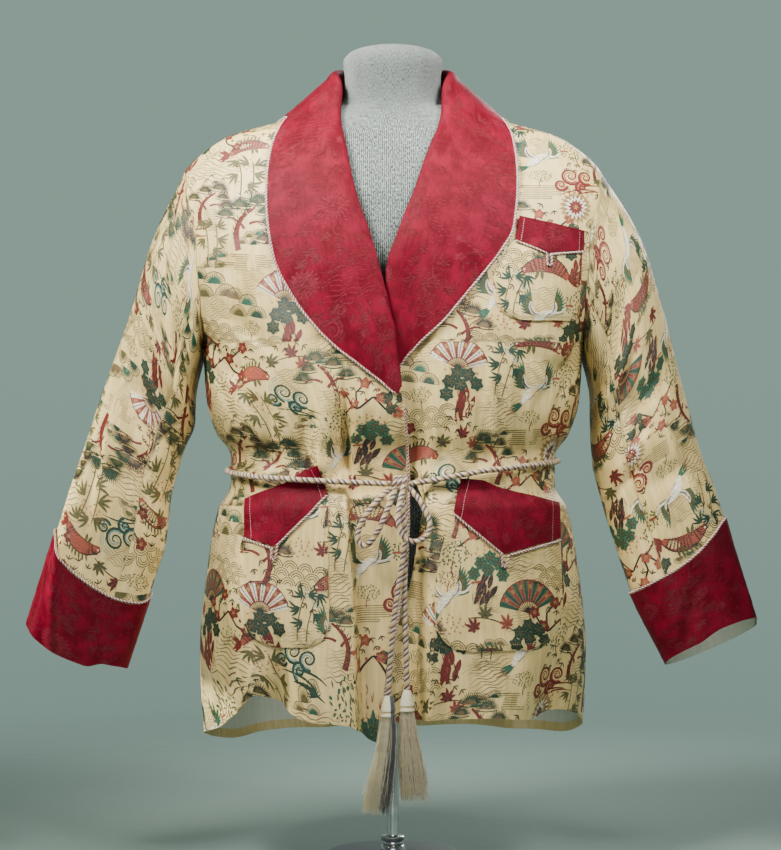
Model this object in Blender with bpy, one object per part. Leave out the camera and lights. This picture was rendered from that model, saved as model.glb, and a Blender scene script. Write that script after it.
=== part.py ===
"""A shawl-collared smoking jacket with a tied cord belt, standing on a limbless dress form.

Metres, +Z up. The origin is the centre of the stand's underside. The jacket's front faces -Y,
and +X is the wearer's left. The body of the jacket is one surface of rings round the figure,
cut into panels at the side, shoulder and armhole seams. What lies on a panel is taken from the
same surface and moved outwards.
"""
import math

import bmesh
import bpy
import numpy as np

MM = 0.001
SEAM_GAP = 0.3 * MM
SEAM_SPREAD = 1.6
CLOTH = 1.5 * MM
PATCH_CLOTH = 1.2 * MM
PATCH_LIFT = 1.5 * MM
PIPING_RADIUS = 1.7 * MM
BELT_RADIUS = 3.6 * MM
BELT_BEVEL_RESOLUTION = 2

# Rings of the jacket: height, half width, depth in front and behind, squareness of the oval.
BODY_ROWS = np.array((
    (0.130, 0.238, 0.158, 0.160, 2.3),
    (0.265, 0.244, 0.160, 0.158, 2.4),
    (0.395, 0.231, 0.156, 0.150, 2.4),
    (0.447, 0.220, 0.150, 0.142, 2.4),
    (0.474, 0.205, 0.139, 0.132, 2.3),
    (0.512, 0.205, 0.139, 0.132, 2.3),
    (0.540, 0.223, 0.147, 0.140, 2.4),
    (0.580, 0.235, 0.152, 0.148, 2.5),
    (0.650, 0.241, 0.152, 0.152, 2.6),
    (0.700, 0.264, 0.148, 0.152, 2.5),
    (0.760, 0.284, 0.140, 0.150, 2.4),
    (0.820, 0.284, 0.126, 0.140, 2.3),
    (0.868, 0.266, 0.104, 0.118, 2.2),
    (0.914, 0.214, 0.080, 0.094, 2.1),
    (0.939, 0.130, 0.064, 0.080, 2.0),
    (0.950, 0.100, 0.059, 0.075, 2.0),
    (0.975, 0.085, 0.055, 0.071, 2.0),
    (1.003, 0.074, 0.052, 0.069, 2.0),
))

# Height of the hem round the figure: angle from the centre front in degrees, height.
HEM_ROWS = np.array((
    (-180.0, 0.152),
    (-150.0, 0.150),
    (-125.0, 0.142),
    (-105.0, 0.150),
    (-90.0, 0.160),
    (-60.0, 0.178),
    (-48.0, 0.197),
    (-39.0, 0.2215),
    (-32.0, 0.212),
    (-21.0, 0.193),
    (-9.0, 0.186),
    (-5.0, 0.168),
    (-2.0, 0.163),
    (0.0, 0.186),
    (6.0, 0.193),
    (23.0, 0.196),
    (41.0, 0.192),
    (57.0, 0.209),
    (70.0, 0.192),
    (90.0, 0.171),
    (120.0, 0.152),
    (180.0, 0.152),
))
HEM_BASE = 0.160
HEM_FADE_TOP = 0.270

# Armholes: an oval cut from the side of the body between these heights.
ARMHOLE_TOP = 0.872
ARMHOLE_PIT = 0.652
ARMHOLE_HALF_ANGLE = math.radians(34.0)
ARMHOLE_ROUNDNESS = 0.9
ARMHOLE_STEPS = 8

# Heights of the rings of points in a panel, below and above the armholes.
LOW_HEIGHTS = (HEM_BASE, 0.200, 0.245, 0.290, 0.340, 0.395, 0.445, 0.474, 0.512, 0.545, 0.580, 0.618)
HIGH_HEIGHTS = (0.898, 0.918, 0.934, 0.945)
FRONT_COLUMNS = 18
BACK_COLUMNS = 24

# Folds: sideways place, height and depth at the upper end, the same at the lower end, half width.
# A positive depth stands out from the body.
FRONT_FOLDS = (
    (-0.139, 0.285, -0.002, -0.147, 0.170, -0.020, 0.013),
    (-0.185, 0.400, 0.003, -0.195, 0.160, 0.006, 0.024),
    (-0.105, 0.270, 0.002, -0.100, 0.170, 0.008, 0.030),
    (-0.165, 0.640, -0.001, -0.150, 0.505, -0.007, 0.014),
    (-0.118, 0.600, -0.001, -0.112, 0.505, -0.006, 0.011),
    (-0.075, 0.620, -0.001, -0.082, 0.505, -0.006, 0.012),
    (0.062, 0.590, -0.001, 0.058, 0.505, -0.005, 0.012),
    (0.105, 0.640, -0.001, 0.112, 0.510, -0.006, 0.012),
    (0.160, 0.620, -0.001, 0.150, 0.515, -0.007, 0.013),
    (0.215, 0.330, 0.001, 0.190, 0.165, -0.012, 0.020),
    (0.120, 0.280, 0.001, 0.125, 0.170, 0.006, 0.040),
    (0.060, 0.300, 0.001, 0.070, 0.170, -0.005, 0.018),
    (0.175, 0.760, 0.002, 0.205, 0.640, 0.005, 0.022),
    (-0.200, 0.740, -0.002, -0.190, 0.620, -0.005, 0.020),
)
BACK_FOLDS = (
    (-0.170, 0.620, -0.001, -0.160, 0.505, -0.007, 0.014),
    (-0.120, 0.650, -0.001, -0.112, 0.505, -0.007, 0.013),
    (-0.068, 0.610, -0.001, -0.060, 0.505, -0.006, 0.012),
    (-0.015, 0.640, -0.001, -0.012, 0.505, -0.006, 0.013),
    (0.045, 0.600, -0.001, 0.042, 0.505, -0.006, 0.012),
    (0.098, 0.640, -0.001, 0.094, 0.505, -0.007, 0.013),
    (0.155, 0.610, -0.001, 0.150, 0.505, -0.006, 0.014),
    (-0.150, 0.460, -0.003, -0.172, 0.150, 0.008, 0.026),
    (-0.088, 0.470, -0.003, -0.096, 0.150, -0.009, 0.020),
    (-0.030, 0.460, -0.002, -0.034, 0.150, 0.009, 0.026),
    (0.030, 0.470, -0.003, 0.036, 0.150, -0.008, 0.018),
    (0.082, 0.460, -0.002, 0.098, 0.150, 0.008, 0.026),
    (0.140, 0.465, -0.003, 0.160, 0.150, -0.009, 0.020),
)
FOLD_FADE = 0.022

# The lapping front drops back in one deep fold beside the centre: height, place of its edge, depth.
LAP_FOLD_ROWS = np.array((
    (0.130, -0.044, 0.026),
    (0.300, -0.047, 0.024),
    (0.400, -0.054, 0.020),
    (0.470, -0.062, 0.013),
    (0.520, -0.070, 0.008),
    (0.585, -0.082, 0.000),
    (1.010, -0.082, 0.000),
))
LAP_FOLD_WALL = 0.010
# The front beneath lies behind the lapping one: height, how far behind, where it comes out again.
UNDERLAP_ROWS = np.array((
    (0.130, 0.010, 0.046),
    (0.440, 0.009, 0.046),
    (0.500, 0.009, 0.050),
    (0.580, 0.017, 0.058),
    (0.660, 0.017, 0.058),
    (0.730, 0.008, 0.058),
    (0.790, 0.000, 0.058),
    (1.010, 0.000, 0.058),
))
UNDERLAP_FULL = 0.022

# Front edges below the collar: height, sideways place on each side.
EDGE_RIGHT_ROWS = np.array((
    (0.130, -0.024),
    (0.220, -0.012),
    (0.310, 0.001),
    (0.386, 0.011),
    (0.470, 0.013),
    (0.590, 0.011),
))
EDGE_LEFT_ROWS = np.array((
    (0.130, -0.012),
    (0.300, 0.004),
    (0.380, 0.016),
    (0.450, 0.022),
    (0.500, -0.004),
    (0.600, -0.022),
))

# Collar, from the shoulder down the front: roll line and outer edge, each sideways and height.
COLLAR_RIGHT_ROWS = np.array((
    (-0.066, 0.985, -0.125, 0.939),
    (-0.066, 0.950, -0.143, 0.913),
    (-0.064, 0.910, -0.152, 0.877),
    (-0.059, 0.867, -0.153, 0.834),
    (-0.048, 0.822, -0.149, 0.786),
    (-0.033, 0.777, -0.137, 0.740),
    (-0.021, 0.734, -0.111, 0.695),
    (-0.011, 0.697, -0.079, 0.657),
    (-0.001, 0.660, -0.039, 0.625),
    (0.006, 0.628, -0.010, 0.602),
    (0.010, 0.598, 0.006, 0.588),
))
COLLAR_LEFT_ROWS = np.array((
    (0.066, 0.985, 0.127, 0.938),
    (0.062, 0.950, 0.146, 0.905),
    (0.054, 0.906, 0.151, 0.872),
    (0.045, 0.875, 0.150, 0.827),
    (0.033, 0.835, 0.144, 0.790),
    (0.0195, 0.801, 0.130, 0.765),
    (0.007, 0.762, 0.111, 0.740),
    (-0.0025, 0.728, 0.082, 0.705),
    (-0.009, 0.699, 0.051, 0.668),
    (-0.014, 0.665, 0.013, 0.632),
    (-0.018, 0.625, -0.006, 0.602),
))
# Collar round the back of the neck: angle in degrees, height of the roll and of the outer edge.
COLLAR_BACK_ROWS = np.array((
    (180.0, 1.000, 0.922),
    (150.0, 1.001, 0.923),
    (120.0, 1.002, 0.928),
    (96.0, 0.998, 0.935),
))
# Collar section: share of the way from roll to outer edge, and how far it stands off the body.
COLLAR_SECTION = np.array((
    (0.00, -0.0052),
    (-0.03, -0.0034),
    (-0.05, 0.0004),
    (-0.01, 0.0040),
    (0.14, 0.0068),
    (0.50, 0.0066),
    (1.00, 0.0052),
))
COLLAR_STAND_FRONT = 0.14
COLLAR_STAND_BACK = 0.60
COLLAR_CREST_SHARE = 0.14
COLLAR_BRIDGE_END = 0.36
COLLAR_CLOTH = 1.6 * MM
COLLAR_SEAM_SHARE = 0.0006
COLLAR_STATIONS = 28
PANEL_EDGE_IN_COLLAR = 0.009

# Sleeves: share of the length, outer and inner edge (sideways, height), depth of the section in
# front and behind, how far it leans forward, and how far the front of the mouth drops.
SLEEVE_RIGHT_ROWS = np.array((
    (0.00, 0.274, 0.862, 0.249, 0.652, 0.086, 0.090, 0.000, 0.000),
    (0.16, 0.300, 0.801, 0.2505, 0.606, 0.078, 0.084, 0.000, 0.000),
    (0.34, 0.333, 0.692, 0.2515, 0.556, 0.066, 0.070, 0.000, 0.000),
    (0.50, 0.363, 0.606, 0.266, 0.515, 0.056, 0.058, -0.004, 0.000),
    (0.64, 0.391, 0.521, 0.280, 0.462, 0.050, 0.050, -0.010, 0.000),
    (0.76, 0.410, 0.464, 0.287, 0.402, 0.045, 0.045, -0.016, 0.004),
    (0.86, 0.428, 0.405, 0.303, 0.350, 0.041, 0.041, -0.020, 0.010),
    (1.00, 0.460, 0.302, 0.335, 0.246, 0.039, 0.039, -0.026, 0.018),
))
SLEEVE_LEFT_ROWS = np.array((
    (0.00, 0.276, 0.862, 0.249, 0.652, 0.086, 0.090, 0.000, 0.000),
    (0.16, 0.310, 0.801, 0.2505, 0.606, 0.078, 0.084, 0.000, 0.000),
    (0.34, 0.343, 0.694, 0.2505, 0.556, 0.066, 0.070, 0.000, 0.000),
    (0.50, 0.366, 0.604, 0.253, 0.506, 0.056, 0.058, -0.004, 0.000),
    (0.64, 0.388, 0.522, 0.264, 0.456, 0.050, 0.050, -0.008, 0.000),
    (0.76, 0.409, 0.464, 0.283, 0.394, 0.045, 0.045, -0.012, -0.003),
    (0.86, 0.427, 0.402, 0.301, 0.342, 0.041, 0.041, -0.014, -0.006),
    (1.00, 0.457, 0.298, 0.346, 0.251, 0.039, 0.039, -0.016, -0.012),
))
SLEEVE_SQUARENESS = 2.2
SLEEVE_BLEND = 0.26
ARMHOLE_GAP = 0.6 * MM
SLEEVE_END = 0.965
SLEEVE_SEAM_RADIUS = 0.042
SLEEVE_STATIONS = 12
# Seams of the two-piece sleeve, in steps of the armhole from the shoulder round the front.
SLEEVE_FRONT_SEAM_STEP = 5
SLEEVE_BACK_SEAM_STEP = 11
# Sleeve folds: share of the length, angle round the sleeve in degrees, depth, half length, half angle.
SLEEVE_FOLDS = (
    (0.20, 90.0, -0.007, 0.050, 28.0),
    (0.32, 120.0, 0.005, 0.045, 34.0),
    (0.45, 75.0, -0.006, 0.035, 30.0),
    (0.56, 110.0, 0.004, 0.035, 34.0),
    (0.66, 70.0, -0.005, 0.030, 32.0),
    (0.28, 260.0, -0.006, 0.050, 30.0),
    (0.47, 290.0, -0.006, 0.040, 32.0),
    (0.62, 255.0, 0.005, 0.040, 30.0),
)

# Cuffs stand outside the sleeve and rise to a point at the outer edge.
# Angle from the outer seam in degrees, share of the sleeve's length of the cuff's upper edge.
CUFF_TOP_RIGHT_ROWS = np.array((
    (0.0, 0.842),
    (12.0, 0.846),
    (25.0, 0.853),
    (37.0, 0.863),
    (50.0, 0.875),
    (75.0, 0.887),
    (114.0, 0.8955),
    (150.0, 0.892),
    (180.0, 0.881),
))
CUFF_TOP_LEFT_ROWS = np.array((
    (0.0, 0.815),
    (25.0, 0.820),
    (55.0, 0.839),
    (75.0, 0.855),
    (108.0, 0.869),
    (127.0, 0.870),
    (180.0, 0.868),
))
# Angle from the outer seam over the front, share of the sleeve's length of the cuff's lower edge.
CUFF_END_RIGHT_ROWS = np.array((
    (0.0, 1.0),
    (100.0, 1.0),
    (126.0, 0.990),
    (150.0, 0.991),
    (180.0, 1.0),
))
CUFF_END_LEFT_ROWS = np.array((
    (0.0, 1.0),
    (25.0, 0.992),
    (80.0, 0.991),
    (108.0, 1.0),
    (180.0, 1.0),
))
CUFF_LIFT = 2.4 * MM
CUFF_FLARE = 2.0 * MM
CUFF_COLUMNS = 24
CUFF_STATIONS = 4

# Patch pockets: height, left edge and right edge as seen from the front, top row first.
POCKET_LOWER_LEFT_ROWS = np.array((
    (0.445, 0.074, 0.203),
    (0.395, 0.058, 0.206),
    (0.340, 0.050, 0.207),
    (0.312, 0.051, 0.206),
    (0.290, 0.061, 0.196),
    (0.281, 0.074, 0.182),
    (0.277, 0.090, 0.166),
))
POCKET_LOWER_RIGHT_ROWS = np.array((
    (0.462, -0.180, -0.078),
    (0.445, -0.181, -0.078),
    (0.395, -0.183, -0.078),
    (0.340, -0.183, -0.077),
    (0.312, -0.180, -0.077),
    (0.290, -0.168, -0.086),
    (0.281, -0.145, -0.106),
))
POCKET_CHEST_ROWS = np.array((
    (0.776, 0.145, 0.232),
    (0.762, 0.137, 0.232),
    (0.738, 0.124, 0.231),
    (0.720, 0.121, 0.230),
    (0.700, 0.125, 0.229),
    (0.684, 0.140, 0.226),
    (0.679, 0.155, 0.218),
))
POCKET_COLUMNS = 12

# Pocket bands: corners of the top edge and of the pointed lower edge, sideways and height.
BAND_LOWER_LEFT = (
    ((0.082, 0.486), (0.108, 0.484), (0.144, 0.468), (0.203, 0.452)),
    ((0.073, 0.445), (0.134, 0.394), (0.203, 0.411)),
)
BAND_LOWER_RIGHT = (
    ((-0.180, 0.457), (-0.135, 0.478), (-0.088, 0.503)),
    ((-0.179, 0.413), (-0.143, 0.403), (-0.079, 0.466)),
)
BAND_CHEST = (
    ((0.154, 0.806), (0.190, 0.799), (0.234, 0.790)),
    ((0.149, 0.777), (0.188, 0.761), (0.233, 0.766)),
)
BAND_COLUMNS = 11
# How far each band's inner face stands off the front, over its pocket, and how far its piping hangs off.
BAND_LIFTS = {"band_lower_right": 4.2 * MM, "band_lower_left": 4.2 * MM, "band_chest": 3.5 * MM}
BAND_PIPING_GAPS = {"band_lower_right": 1.0 * MM, "band_lower_left": 1.0 * MM, "band_chest": 0.5 * MM}
# Height at which the fronts turn in to the waist, where a band bends with them.
BAND_BEND = 0.445
LOOP_DROP = 0.016
LOOP_HALF_WIDTH = 0.0028

# Belt: angle round the waist in degrees and height of the cord.
BELT_WAIST_ROWS = np.array((
    (-180.0, 0.503),
    (-90.0, 0.494),
    (-60.0, 0.489),
    (-20.0, 0.483),
    (0.0, 0.480),
    (30.0, 0.496),
    (70.0, 0.504),
    (90.0, 0.506),
    (180.0, 0.503),
))
BELT_WAIST_POINTS = 40
BELT_CLEARANCE = 1.1 * MM
BELT_KNOT_TURN = math.radians(2.2)
BELT_KNOT_GAP = math.radians(7.0)
# The cord rides over the two lower pocket bands: angle, half angle.
BELT_OVER_BANDS = ((-34.0, 20.0), (27.0, 14.0))
BELT_OVER_BAND_LIFT = 5.5 * MM
KNOT_CENTRE = (0.0085, 0.480, 0.0120)
KNOT_HALF_SIZES = (0.0125, 0.0095, 0.0105)
KNOT_STRAIGHT = 4.0 * MM
# The way in which each stretch leaves the knot, and for a bow the way in which it comes back.
KNOT_WAYS = {
    "belt_waist": ((1.0, 0.35, 0.0), (-1.0, 0.35, 0.0)),
    "belt_bow_right": ((-0.85, -0.10, -0.50), (-0.45, -0.65, -0.60)),
    "belt_bow_left": ((0.85, -0.10, -0.50), (0.25, -0.85, -0.45)),
    "belt_end_right": ((0.10, -0.25, -0.95), None),
    "belt_end_left": ((0.25, 0.50, -0.85), None),
}
# Routes of the bow and the ends in front of the jacket: sideways, height, distance off the front.
BOW_RIGHT_ROUTE = (
    (-0.022, 0.456, 0.0135),
    (-0.039, 0.431, 0.0110),
    (-0.042, 0.412, 0.0100),
    (-0.032, 0.406, 0.0110),
    (-0.019, 0.422, 0.0150),
    (-0.008, 0.446, 0.0190),
)
BOW_LEFT_ROUTE = (
    (0.034, 0.457, 0.0160),
    (0.044, 0.434, 0.0180),
    (0.040, 0.418, 0.0210),
    (0.026, 0.411, 0.0240),
    (0.012, 0.418, 0.0260),
    (0.006, 0.442, 0.0270),
)
END_RIGHT_ROUTE = (
    (0.0125, 0.440, 0.0145),
    (0.0150, 0.414, 0.0140),
    (0.0110, 0.384, 0.0130),
    (0.0050, 0.345, 0.0125),
    (0.0005, 0.310, 0.0120),
    (-0.0030, 0.268, 0.0120),
    (-0.0055, 0.226, 0.0120),
)
END_LEFT_ROUTE = (
    (0.0150, 0.436, 0.0052),
    (0.0150, 0.395, 0.0045),
    (0.0140, 0.350, 0.0038),
    (0.0145, 0.310, 0.0045),
    (0.0160, 0.270, 0.0055),
    (0.0170, 0.232, 0.0065),
)
BOW_POINTS = 10
END_POINTS = 10

# Tassels: a bound head over a skirt of strands.
TASSEL_HEAD_RADIUS = 0.0086
TASSEL_HEAD_HEIGHT = 0.022
TASSEL_RIGHT_END = (-0.018, 0.084)
TASSEL_LEFT_END = (0.028, 0.099)
TASSEL_SPREAD = 2.1
TASSEL_SIDES = 9
TASSEL_STEPS = 2

# Dress form: height, half width, depth in front and behind. Its shoulders follow the jacket's rings.
FORM_ROWS = np.array((
    (0.345, 0.040, 0.030, 0.030),
    (0.346, 0.130, 0.088, 0.090),
    (0.352, 0.148, 0.100, 0.104),
    (0.380, 0.158, 0.108, 0.112),
    (0.440, 0.156, 0.108, 0.110),
    (0.500, 0.148, 0.104, 0.104),
    (0.570, 0.160, 0.116, 0.116),
    (0.650, 0.178, 0.112, 0.128),
    (0.720, 0.192, 0.118, 0.134),
    (0.780, 0.202, 0.119, 0.132),
    (0.830, 0.206, 0.110, 0.122),
    (0.868, 0.206, 0.093, 0.105),
    (0.955, 0.067, 0.046, 0.061),
    (0.970, 0.062, 0.046, 0.059),
    (0.992, 0.061, 0.049, 0.058),
    (1.010, 0.0635, 0.051, 0.060),
    (1.018, 0.0605, 0.049, 0.058),
    (1.0245, 0.052, 0.042, 0.050),
    (1.029, 0.040, 0.032, 0.038),
    (1.032, 0.026, 0.021, 0.025),
    (1.034, 0.012, 0.009, 0.011),
))
FORM_COLUMNS = 20
FORM_SHOULDER_HALF_WIDTH = 0.206
SHOULDER_SEAT = 2.2 * MM
SHOULDER_FRONT_INSET = 0.010
SHOULDER_BACK_INSET = 0.004
POLE_RADIUS = 0.0075
FITTING_RADIUS = 0.015
FITTING_TOP = 0.030
BASE_RADIUS = 0.082
BASE_HEIGHT = 0.011
BASE_EDGE = 0.003


def smoothstep(low, high, value):
    """Rise smoothly from 0 at low to 1 at high."""
    share = np.clip((value - low) / (high - low), 0.0, 1.0)
    return share * share * (3.0 - 2.0 * share)


def through(rows, value):
    """Read a table's other columns at a value of its first column, on a smooth curve.

    The slopes are limited so that the curve never overshoots its rows.
    """
    knots = rows[:, 0]
    values = rows[:, 1:]
    step = np.diff(knots)[:, None]
    rise = np.diff(values, axis=0) / step
    slope = np.zeros_like(values)
    product = rise[1:] * rise[:-1]
    total = rise[1:] + rise[:-1]
    mean = 2.0 * product / np.where(np.abs(total) < 1e-12, 1.0, total)
    slope[1:-1] = np.where(product > 0.0, mean, 0.0)
    slope[0] = rise[0]
    slope[-1] = rise[-1]
    value = np.clip(np.asarray(value, dtype=float), knots[0], knots[-1])
    index = np.clip(np.searchsorted(knots, value, side="right") - 1, 0, len(knots) - 2)
    width = step[index, 0][..., None]
    t = (value - knots[index])[..., None] / width
    start = values[index]
    end = values[index + 1]
    start_slope = slope[index] * width
    end_slope = slope[index + 1] * width
    bend = (2.0 * start - 2.0 * end + start_slope + end_slope) * t + \
        (3.0 * end - 3.0 * start - 2.0 * start_slope - end_slope)
    return (bend * t + start_slope) * t + start


def route(points, count):
    """Points evenly spaced by share along a smooth curve through the given points."""
    points = np.array(points, dtype=float)
    gaps = np.linalg.norm(np.diff(points, axis=0), axis=1)
    along = np.concatenate(([0.0], np.cumsum(gaps)))
    padded = np.vstack((2 * points[0] - points[1], points, 2 * points[-1] - points[-2]))
    result = []
    for place in np.linspace(0.0, along[-1], count):
        index = min(np.searchsorted(along, place, side="right") - 1, len(points) - 2)
        t = (place - along[index]) / gaps[index]
        before, start, end, after = padded[index:index + 4]
        result.append(0.5 * (2 * start + (end - before) * t
                             + (2 * before - 5 * start + 4 * end - after) * t * t
                             + (3 * start - before - 3 * end + after) * t ** 3))
    return np.array(result)


def along_corners(corners, share):
    """Points at shares of the way along a line with corners."""
    corners = np.array(corners)
    gaps = np.linalg.norm(np.diff(corners, axis=0), axis=1)
    places = np.concatenate(([0.0], np.cumsum(gaps))) / gaps.sum()
    return np.stack([np.interp(share, places, corners[:, axis]) for axis in (0, 1)], axis=-1)


def power(value, exponent):
    """A signed power, for the ovals."""
    return np.sign(value) * np.abs(value) ** exponent


def angle_at(sideways, height):
    """Angle round the body of a place on its front, given as seen from the front."""
    half_width, _, _, squareness = np.moveaxis(through(BODY_ROWS, height), -1, 0)
    share = np.clip(sideways / half_width, -1.0, 1.0)
    return np.arcsin(power(share, squareness / 2.0))


def fold_depth(sideways, height, folds):
    """Sum of the folds at places on one face of the body."""
    total = np.zeros_like(sideways)
    for x_top, z_top, depth_top, x_low, z_low, depth_low, half_width in folds:
        share = np.clip((height - z_low) / (z_top - z_low), 0.0, 1.0)
        middle = x_low + (x_top - x_low) * share
        depth = depth_low + (depth_top - depth_low) * share
        inside = smoothstep(z_low - FOLD_FADE, z_low, height)
        inside = inside * (1.0 - smoothstep(z_top, z_top + FOLD_FADE, height))
        total += depth * inside * np.exp(-((sideways - middle) / half_width) ** 2)
    return total


def lap_depth(sideways, height, layer):
    """How far the two fronts drop behind the ring near the centre."""
    edge, deep = np.moveaxis(through(LAP_FOLD_ROWS, height), -1, 0)
    if layer == "right":
        return deep * smoothstep(0.0, LAP_FOLD_WALL, sideways - edge)
    under, start = np.moveaxis(through(UNDERLAP_ROWS, height), -1, 0)
    return (deep + under) * (1.0 - smoothstep(UNDERLAP_FULL, start, sideways))


def body(angle, height, layer):
    """Outer face of the jacket's body: rings of superellipses, moved along their normals by folds."""
    angle, height = np.broadcast_arrays(np.asarray(angle, float), np.asarray(height, float))
    half_width, front, behind, squareness = np.moveaxis(through(BODY_ROWS, height), -1, 0)
    facing = np.cos(angle)
    depth = np.where(facing > 0.0, front, behind)
    x = half_width * power(np.sin(angle), 2.0 / squareness)
    y = -depth * power(facing, 2.0 / squareness)
    normal_x = power(x / half_width, squareness - 1.0) / half_width
    normal_y = power(y / depth, squareness - 1.0) / depth
    size = np.hypot(normal_x, normal_y)
    out = fold_depth(x, height, FRONT_FOLDS) * smoothstep(0.10, 0.40, facing)
    out = out + fold_depth(x, height, BACK_FOLDS) * smoothstep(0.10, 0.40, -facing)
    if layer != "back":
        out = out - lap_depth(x, height, layer) * smoothstep(0.10, 0.40, facing)
    x = x + out * normal_x / size
    y = y + out * normal_y / size
    return np.stack((x, y, height), axis=-1)


def unit(vectors):
    """Vectors of length one."""
    return vectors / np.maximum(np.linalg.norm(vectors, axis=-1, keepdims=True), 1e-12)


def body_normal(angle, height, layer):
    """Outward normal of the body, from its slopes round and up."""
    step_angle = 0.03
    step_height = 0.004
    around = body(angle + step_angle, height, layer) - body(angle - step_angle, height, layer)
    up = body(angle, height + step_height, layer) - body(angle, height - step_height, layer)
    return unit(np.cross(around, up))


def raised(angle, height, layer, distance):
    """Places on the body moved outwards."""
    distance = np.asarray(distance, dtype=float)[..., None]
    return body(angle, height, layer) + body_normal(angle, height, layer) * distance


def principled(name, colour, roughness, metallic=0.0):
    """A plain material."""
    material = bpy.data.materials.new(name)
    material.use_nodes = True
    shader = material.node_tree.nodes["Principled BSDF"]
    shader.inputs["Base Color"].default_value = (*colour, 1.0)
    shader.inputs["Roughness"].default_value = roughness
    shader.inputs["Metallic"].default_value = metallic
    return material


def add_object(name, data, material, parent):
    """Link a mesh or curve as a named object under the root empty."""
    data.materials.append(material)
    item = bpy.data.objects.new(name, data)
    item.parent = parent
    bpy.context.collection.objects.link(item)
    return item


def mesh_from(name, points, faces):
    """A mesh with its faces turned outwards."""
    mesh = bpy.data.meshes.new(name)
    mesh.from_pydata([tuple(point) for point in points], [], faces)
    work = bmesh.new()
    work.from_mesh(mesh)
    bmesh.ops.recalc_face_normals(work, faces=work.faces)
    work.to_mesh(mesh)
    work.free()
    return mesh


def wall(name, outer, inner, around=False):
    """A closed wall between two matching grids of points; around joins its last column to its first."""
    rows, columns = outer.shape[:2]
    points = np.concatenate((outer.reshape(-1, 3), inner.reshape(-1, 3)))
    start_inner = rows * columns
    spans = columns if around else columns - 1
    faces = []
    for row in range(rows - 1):
        for column in range(spans):
            after = (column + 1) % columns
            a = row * columns + column
            b = row * columns + after
            c = (row + 1) * columns + after
            d = (row + 1) * columns + column
            for one, two, three in ((a, b, c), (a, c, d)):
                faces.append((one, two, three))
                faces.append((start_inner + three, start_inner + two, start_inner + one))
    for row in (0, rows - 1):
        for column in range(spans):
            a = row * columns + column
            b = row * columns + (column + 1) % columns
            faces.append((a, start_inner + a, start_inner + b, b))
    if not around:
        for row in range(rows - 1):
            for column in (0, columns - 1):
                a = row * columns + column
                b = (row + 1) * columns + column
                faces.append((a, b, start_inner + b, start_inner + a))
    return mesh_from(name, points, faces)


def tube(name, path, radius, sides):
    """A closed tube of a few flat sides along a path, its section carried along without twisting."""
    tangent = unit(np.gradient(path, axis=0))
    side = unit(np.cross(tangent[0], (0.31, 0.52, 0.79)))
    rings = []
    for point, direction in zip(path, tangent):
        side = unit(side - direction * np.dot(side, direction))
        other = np.cross(direction, side)
        turn = np.linspace(0.0, 2.0 * math.pi, sides, endpoint=False)[:, None]
        rings.append(point + radius * (np.cos(turn) * side + np.sin(turn) * other))
    points = np.concatenate(rings)
    faces = []
    for ring in range(len(path) - 1):
        for column in range(sides):
            after = (column + 1) % sides
            a = ring * sides + column
            b = ring * sides + after
            faces.append((a, b, b + sides, a + sides))
    faces.append(tuple(range(sides)))
    faces.append(tuple(range(len(points) - sides, len(points))))
    return mesh_from(name, points, faces)


def bevelled_curve(name, points, radius):
    """A round cord along a route, with closed ends."""
    curve = bpy.data.curves.new(name, "CURVE")
    curve.dimensions = "3D"
    curve.bevel_depth = radius
    curve.bevel_resolution = BELT_BEVEL_RESOLUTION
    curve.use_fill_caps = True
    spline = curve.splines.new("POLY")
    spline.points.add(len(points) - 1)
    for spline_point, point in zip(spline.points, points):
        spline_point.co = (*point, 1.0)
    return curve


def turned(name, rows, columns):
    """A closed solid of oval rings: height, half width, depth in front and behind."""
    angle = np.linspace(0.0, 2.0 * math.pi, columns, endpoint=False)
    facing = np.cos(angle)
    points = []
    for height, half_width, front, behind in rows:
        depth = np.where(facing > 0.0, front, behind)
        ring = np.stack((half_width * np.sin(angle), -depth * facing, np.full(columns, height)), axis=-1)
        points.extend(ring)
    faces = [tuple(range(columns)), tuple(range(len(points) - columns, len(points)))]
    for row in range(len(rows) - 1):
        for column in range(columns):
            a = row * columns + column
            b = row * columns + (column + 1) % columns
            faces.append((a, b, b + columns, a + columns))
    return mesh_from(name, points, faces)


def panel_heights():
    """Heights of a panel's rings; beside the armhole they follow equal turns round it."""
    turn = np.linspace(math.pi, 0.0, ARMHOLE_STEPS + 1)
    beside = ARMHOLE_PIT + (ARMHOLE_TOP - ARMHOLE_PIT) * (0.5 + 0.5 * np.cos(turn))
    return np.concatenate((LOW_HEIGHTS, beside, HIGH_HEIGHTS))


def armhole_half_angle(height):
    """Half the angle that the armhole takes from the side of the body at a height."""
    share = np.clip((height - ARMHOLE_PIT) / (ARMHOLE_TOP - ARMHOLE_PIT), 0.0, 1.0)
    return ARMHOLE_HALF_ANGLE * (2.0 * np.sqrt(share * (1.0 - share))) ** ARMHOLE_ROUNDNESS


def collar_rows(side):
    """The collar's roll and outer edge as angles and heights, from the centre back to the tip."""
    rows = COLLAR_RIGHT_ROWS if side < 0 else COLLAR_LEFT_ROWS
    back = [(side * math.radians(turn), roll, side * math.radians(turn), outer)
            for turn, roll, outer in COLLAR_BACK_ROWS]
    front = np.stack((angle_at(rows[:, 0], rows[:, 1]), rows[:, 1],
                      angle_at(rows[:, 2], rows[:, 3]), rows[:, 3]), axis=-1)
    return np.vstack((back, front))


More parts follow.
